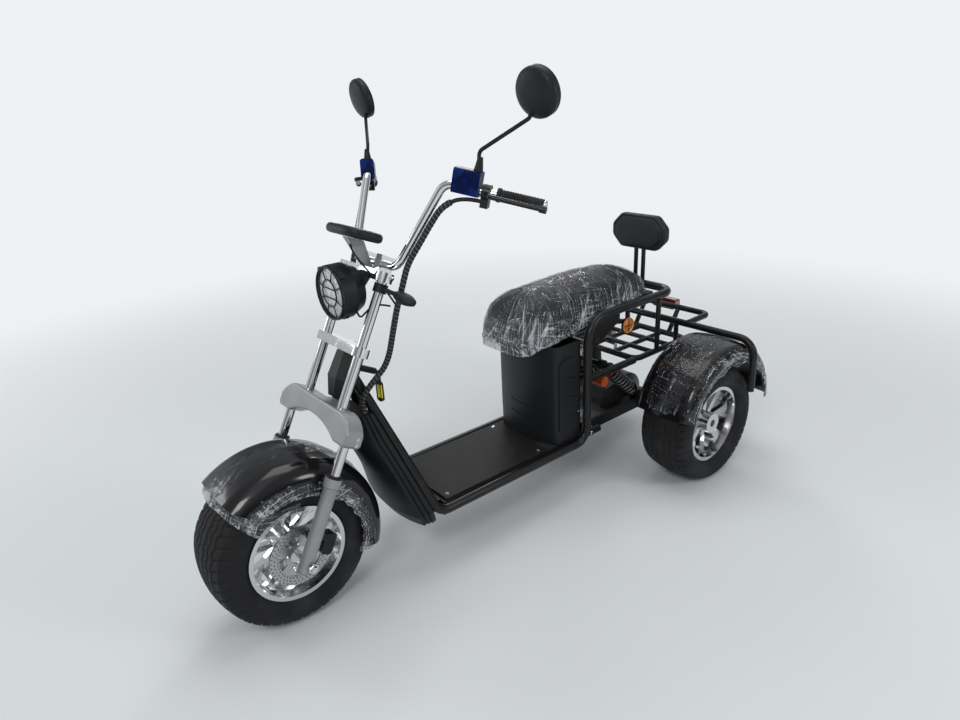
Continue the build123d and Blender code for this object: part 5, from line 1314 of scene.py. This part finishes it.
class CHOPPER_OT_display(bpy.types.Operator):
    """The display as a rounded pod with dark glass on top"""
    bl_idname = "chopper.display"
    bl_label = "Display"

    def execute(self, context):
        low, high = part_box("instrument")
        centre = (low + high) / 2
        # share of the plan, margin and height, ring by ring
        pod = [(0.0, 0.0, -0.0130), (0.6, 0.0, -0.0130), (1, 0.0100, -0.0130), (1, 0.0040, -0.0106),
               (1, 0.0010, -0.0062), (1, 0.0, 0.0), (1, 0.0010, 0.0062), (1, 0.0040, 0.0106),
               (1, 0.0090, 0.0128), (0.8, 0.0090, 0.0130), (0.0, 0.0, 0.0130)]
        glass = [(0.0, 0.0, 0.0120), (0.78, 0.0090, 0.0120), (0.78, 0.0090, 0.0134), (0.70, 0.0090, 0.0140),
                 (0.0, 0.0, 0.0142)]
        shell = self.stack("display_pod", centre, pod, black_plastic())
        settle(shell, "steering", slot_of["instrument"], "instrument")
        settle(self.stack("display_glass", centre, glass, dark_display()), "steering", "gloss_black")
        return {"FINISHED"}

    def stack(self, name, centre, levels, material):
        """Oval rings, each a share of the display's plan less a margin, at a height over its middle."""
        tilt = math.radians(21.5)
        up = Vector((0, math.sin(tilt), math.cos(tilt)))
        back = Vector((0, math.cos(tilt), -math.sin(tilt)))
        rings = []
        for share, margin, height in levels:
            row = []
            for a in np.arange(96) * math.tau / 96:
                wide = math.copysign(abs(math.cos(a)) ** 0.62, math.cos(a)) * (0.0825 - margin) * share
                deep = math.copysign(abs(math.sin(a)) ** 0.62, math.sin(a)) * (0.0590 - margin) * share
                row.append(list(centre + Vector((wide, 0, 0)) + back * deep + up * height))
            rings.append(row)
        return skin(name, rings, material)


class CHOPPER_OT_key(bpy.types.Operator):
    """A yellow strip on the key fob"""
    bl_idname = "chopper.key"
    bl_label = "Key fob"

    def execute(self, context):
        tree = BVHTree.FromObject(nodes["ignition_lock"], bpy.context.evaluated_depsgraph_get())
        low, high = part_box("ignition_lock")
        spots = []
        for z in np.linspace(low.z + 0.012, low.z + 0.052, 14):
            row = []
            for y in np.linspace(-0.5, 0.5, 6):
                start = Vector((high.x + 0.05, high.y - 0.012 + 0.009 * y, z))
                hit, _, _, _ = tree.ray_cast(start, -ACROSS)
                row.append(hit + Vector((0.0008, 0, 0)) if hit else start - Vector((0.06, 0, 0)))
            spots.append(row)
        piece = grid("fob_strip", np.array([[list(p) for p in row] for row in spots]), yellow_tab())
        turn_from(piece, Vector((-1, low.y, low.z)))
        thick = piece.modifiers.new("thick", "SOLIDIFY")
        thick.thickness = 0.0008
        settle(piece, "frame", "black_plastic")
        return {"FINISHED"}


# Screws


def screw_tree():
    """Screw heads on points: a washer and a tapered head, turned to each point's facing."""
    tree = bpy.data.node_groups.new("screw_heads", "GeometryNodeTree")
    tree.interface.new_socket("Geometry", in_out="INPUT", socket_type="NodeSocketGeometry")
    for name, kind in (("Radius", "NodeSocketFloat"), ("Height", "NodeSocketFloat"), ("Sides", "NodeSocketInt"),
                       ("Finish", "NodeSocketMaterial")):
        tree.interface.new_socket(name, in_out="INPUT", socket_type=kind)
    tree.interface.new_socket("Geometry", in_out="OUTPUT", socket_type="NodeSocketGeometry")

    def add(kind, **settings):
        made = tree.nodes.new(kind)
        for key, value in settings.items():
            setattr(made, key, value)
        return made

    link = tree.links.new

    def scaled(output, share, target):
        made = add("ShaderNodeMath", operation="MULTIPLY")
        link(output, made.inputs[0])
        made.inputs[1].default_value = share
        link(made.outputs[0], target)

    source = add("NodeGroupInput")
    radius, height = source.outputs["Radius"], source.outputs["Height"]
    washer = add("GeometryNodeMeshCone")
    washer.inputs["Vertices"].default_value = 20
    scaled(radius, 1.0, washer.inputs["Radius Bottom"])
    scaled(radius, 0.94, washer.inputs["Radius Top"])
    scaled(height, 0.3, washer.inputs["Depth"])
    head = add("GeometryNodeMeshCone")
    link(source.outputs["Sides"], head.inputs["Vertices"])
    scaled(radius, 0.78, head.inputs["Radius Bottom"])
    scaled(radius, 0.60, head.inputs["Radius Top"])
    link(height, head.inputs["Depth"])
    joined = add("GeometryNodeJoinGeometry")
    link(washer.outputs["Mesh"], joined.inputs[0])
    link(head.outputs["Mesh"], joined.inputs[0])
    facing = add("GeometryNodeInputNamedAttribute", data_type="FLOAT_VECTOR")
    facing.inputs["Name"].default_value = "facing"
    size = add("GeometryNodeInputNamedAttribute", data_type="FLOAT")
    size.inputs["Name"].default_value = "size"
    align = add("FunctionNodeAlignRotationToVector", axis="Z")
    link(facing.outputs["Attribute"], align.inputs["Vector"])
    place = add("GeometryNodeInstanceOnPoints")
    link(source.outputs["Geometry"], place.inputs["Points"])
    link(joined.outputs[0], place.inputs["Instance"])
    link(align.outputs["Rotation"], place.inputs["Rotation"])
    link(size.outputs["Attribute"], place.inputs["Scale"])
    real = add("GeometryNodeRealizeInstances")
    link(place.outputs["Instances"], real.inputs[0])
    paint = add("GeometryNodeSetMaterial")
    link(real.outputs[0], paint.inputs["Geometry"])
    link(source.outputs["Finish"], paint.inputs["Material"])
    link(paint.outputs[0], add("NodeGroupOutput").inputs[0])
    return tree


def screws(name, rows, body, tree, radius, height, sides):
    """Bright screw heads as one mesh for a body, from rows of place, facing and size."""
    mesh = bpy.data.meshes.new(name)
    mesh.from_pydata([list(place) for place, _, _ in rows], [], [])
    facing = mesh.attributes.new("facing", "FLOAT_VECTOR", "POINT")
    facing.data.foreach_set("vector", [c for _, way, _ in rows for c in way])
    size = mesh.attributes.new("size", "FLOAT", "POINT")
    size.data.foreach_set("value", [s for _, _, s in rows])
    holder = bpy.data.objects.new(name, mesh)
    bpy.context.scene.collection.objects.link(holder)
    modifier = holder.modifiers.new("heads", "NODES")
    modifier.node_group = tree
    values = {"Radius": radius, "Height": height, "Sides": sides, "Finish": chrome()}
    for item in tree.interface.items_tree:
        if item.in_out == "INPUT" and item.name in values:
            modifier[item.identifier] = values[item.name]
    made = baked(holder)
    bpy.data.objects.remove(holder)
    made.name = name
    piece = bpy.data.objects.new(name, made)
    bpy.context.scene.collection.objects.link(piece)
    settle(piece, body, "chrome")


def seated(node, start, way):
    """Where a line from a place along a direction meets a solid, and the solid's facing there."""
    tree = BVHTree.FromObject(nodes[node], bpy.context.evaluated_depsgraph_get())
    hit, normal, _, _ = tree.ray_cast(Vector(start) * MM, Vector(way).normalized())
    if hit is None:
        raise RuntimeError(f"no place for a screw on {node} from {start}")
    if normal.dot(Vector(way)) > 0:
        normal = -normal
    return hit, normal


class CHOPPER_OT_screws(bpy.types.Operator):
    """Screws and bolts where the pieces are held"""
    bl_idname = "chopper.screws"
    bl_label = "Screws"

    def execute(self, context):
        tree = screw_tree()
        held = []
        for x in (-117, 117):
            for y in (115, -272):
                held.append((*seated("foot_mat", (x, y, 260), -UPWARDS), 1.0))
        for side in (1, -1):
            inward = (-side, 0, 0)
            held.append((*seated("seat_box", (side * 260, 286, 301), inward), 0.8))
            held.append((*seated("main_frame", (side * 300, 322, 215), inward), 1.25))
        screws("frame_screws", held, "frame", tree, radius=0.0068, height=0.0036, sides=20)
        fork = []
        for side in (1, -1):
            for along in (342, 358):
                fork.append((*seated("fork_bridge", at_fork(side * 300, along) / MM, (-side, 0, 0)), 0.8))
            fork.append((*seated("top_clamp", at_fork(side * 300, 772) / MM, (-side, 0, 0)), 1.0))
            fork.append((FRONT_AXLE + Vector((side * 0.1795, 0, 0)), Vector((side, 0, 0)), 1.9))
        screws("fork_bolts", fork, "steering", tree, radius=0.0075, height=0.0055, sides=6)
        disc = []
        for k in range(5):
            a = k * math.tau / 5 + 0.3
            place = FRONT_AXLE + Vector((0.1071, 0.036 * math.cos(a), 0.036 * math.sin(a)))
            disc.append((place, ACROSS, 1.0))
        screws("disc_bolts", disc, "front_wheel", tree, radius=0.0055, height=0.0035, sides=6)
        return {"FINISHED"}


# Finishes of the solids that stay


class CHOPPER_OT_finishes(bpy.types.Operator):
    """Gives every solid its finish"""
    bl_idname = "chopper.finishes"
    bl_label = "Finishes"

    def execute(self, context):
        for node, piece in nodes.items():
            piece.data.materials.clear()
            piece.data.materials.append(finish_for_slot[slot_of[node]]())
        own = {"switch_boxes": blue_wrap, "side_reflectors": black_paint, "shock_dampers": black_paint,
               "dash_bracket": silver_paint}
        for node, coat in own.items():
            nodes[node].data.materials[0] = coat()
        return {"FINISHED"}


# Stage


class CHOPPER_OT_stage(bpy.types.Operator):
    """A pale floor, soft lamps and the camera"""
    bl_idname = "chopper.stage"
    bl_label = "Stage"

    def execute(self, context):
        colours = context.scene.chopper_colours
        self.floor(colours)
        self.world(context.scene, colours)
        lamps = [
            ("key", (1.9, -2.7, 3.1), (0, -0.1, 0.5), 1.1, 34),
            ("top", (-0.3, 0.2, 3.6), (0, 0, 0.4), 2.0, 26),
            ("side", (3.2, 1.3, 1.9), (0, 0.3, 0.4), 0.9, 22),
            ("back", (-2.4, 2.2, 2.4), (0, 0.2, 0.6), 1.0, 20),
            ("fill", (-2.6, -2.4, 1.8), (0, -0.4, 0.6), 1.0, 14),
        ]
        for name, place, target, size, power in lamps:
            self.lamp(name, Vector(place), Vector(target), size, power)
        self.camera(context.scene)
        return {"FINISHED"}

    def floor(self, colours):
        """A wide disc that fades into the background."""
        shade = Shade("studio_floor")
        grain = shade.noise(300.0, 2.0)
        shade.set(Base_Color=colours.floor, Roughness=0.75, Normal=shade.bump(grain, 0.0002, 0.1),
                  Specular_IOR_Level=0.15)
        away = shade.node("ShaderNodeVectorMath", {"operation": "LENGTH"}, {0: shade.place((1, 1, 0))}, 1)
        far = shade.node("ShaderNodeEmission", None, {"Color": (*colours.backdrop, 1.0)})
        rays = shade.node("ShaderNodeLightPath").output.node.outputs
        camera = Socket(shade, rays["Is Camera Ray"])
        strength = camera.math("MAXIMUM", Socket(shade, rays["Is Glossy Ray"])) * 0.5 + 0.5
        shade.feed(far.output.node.inputs["Strength"], strength)
        near = Socket(shade, shade.surface.outputs[0])
        joined = shade.node("ShaderNodeMixShader", None, {0: away.clip(1.3, 4.2), 1: near, 2: far})
        shade.tree.links.new(joined.output, shade.tree.nodes["Material Output"].inputs[0])
        turns = np.arange(96) * math.tau / 96
        radii = (0.0, 1.0, 2.0, 4.0, 8.0, 60.0)
        rings = [np.stack([np.cos(turns) * r, np.sin(turns) * r, turns * 0], -1) for r in radii]
        grid("studio_floor", np.array(rings), shade.material, wrap_columns=True)

    def world(self, scene, colours):
        """A pale surround: full for the camera, a soft gradient in reflections, and lower as light."""
        scene.world = bpy.data.worlds.new("studio")
        shade = Shade.of_world(scene.world)
        rays = shade.node("ShaderNodeLightPath").output.node.outputs
        camera = Socket(shade, rays["Is Camera Ray"])
        passed = Socket(shade, rays["Is Transmission Ray"])
        mirrored = Socket(shade, rays["Is Glossy Ray"]).math("MAXIMUM", passed)
        way = shade.node("ShaderNodeTexCoord", output=0)
        sides = [shade.node("ShaderNodeSeparateXYZ", None, {0: way}, output=axis) for axis in (0, 1, 2)]
        panels = (sides[0] * 4.2 + sides[1] * 3.1 + 0.8).wave().clip(-0.5, 0.6)
        bands = 0.10 + panels * 0.50 + sides[2].clip(0.05, 0.6) * 0.40
        light = camera + (1 - camera) * (mirrored * bands + (1 - mirrored) * 0.40)
        backing = shade.tree.nodes["Background"]
        backing.inputs["Color"].default_value = (*colours.backdrop, 1.0)
        shade.feed(backing.inputs["Strength"], light)

    def lamp(self, name, place, target, size, power):
        data = bpy.data.lights.new(name, "AREA")
        data.size = size
        data.energy = power
        made = bpy.data.objects.new(name, data)
        made.location = place
        made.rotation_euler = (target - place).to_track_quat("-Z", "Y").to_euler()
        bpy.context.scene.collection.objects.link(made)

    def camera(self, scene):
        """The photograph's place and angle."""
        place = Vector((1.605409, -1.298610, 1.362333))
        target = Vector((-0.063526, 0.027029, 0.510381))
        roll = math.radians(-3.0)
        ahead = (target - place).normalized()
        right = ahead.cross(Vector((0, 0, 1))).normalized()
        up = right.cross(ahead)
        across = right * math.cos(roll) + up * math.sin(roll)
        above = up * math.cos(roll) - right * math.sin(roll)
        data = bpy.data.cameras.new("camera")
        data.sensor_width = 36.0
        data.lens = 25.79
        made = bpy.data.objects.new("camera", data)
        made.matrix_world = Matrix.Translation(place) @ Matrix((across, above, -ahead)).transposed().to_4x4()
        scene.collection.objects.link(made)
        scene.camera = made
        scene.view_settings.view_transform = "Standard"


operators = [
    CHOPPER_OT_finishes, CHOPPER_OT_tyres, CHOPPER_OT_brake, CHOPPER_OT_front_film, CHOPPER_OT_rear_films,
    CHOPPER_OT_seat, CHOPPER_OT_backrest, CHOPPER_OT_looms, CHOPPER_OT_grips, CHOPPER_OT_mirror_backs,
    CHOPPER_OT_springs, CHOPPER_OT_reflectors, CHOPPER_OT_lamp, CHOPPER_OT_display, CHOPPER_OT_key,
    CHOPPER_OT_screws, CHOPPER_OT_stage,
]


class CHOPPER_PT_panel(bpy.types.Panel):
    """Lists the chopper's pieces"""
    bl_idname = "CHOPPER_PT_panel"
    bl_label = "Electric chopper"
    bl_space_type = "VIEW_3D"
    bl_region_type = "UI"
    bl_category = "Chopper"

    def draw(self, context):
        for operator in operators:
            self.layout.operator(operator.bl_idname)


classes = [ChopperColours, ChopperSizes, *operators, CHOPPER_PT_panel]


def register():
    for cls in classes:
        bpy.utils.register_class(cls)
    bpy.types.Scene.chopper_colours = bpy.props.PointerProperty(type=ChopperColours)
    bpy.types.Scene.chopper_sizes = bpy.props.PointerProperty(type=ChopperSizes)


def unregister():
    del bpy.types.Scene.chopper_sizes
    del bpy.types.Scene.chopper_colours
    for cls in reversed(classes):
        bpy.utils.unregister_class(cls)


def main():
    register()
    for operator in operators:
        group, name = operator.bl_idname.split(".")
        getattr(getattr(bpy.ops, group), name)()


if __name__ == "__main__":
    main()
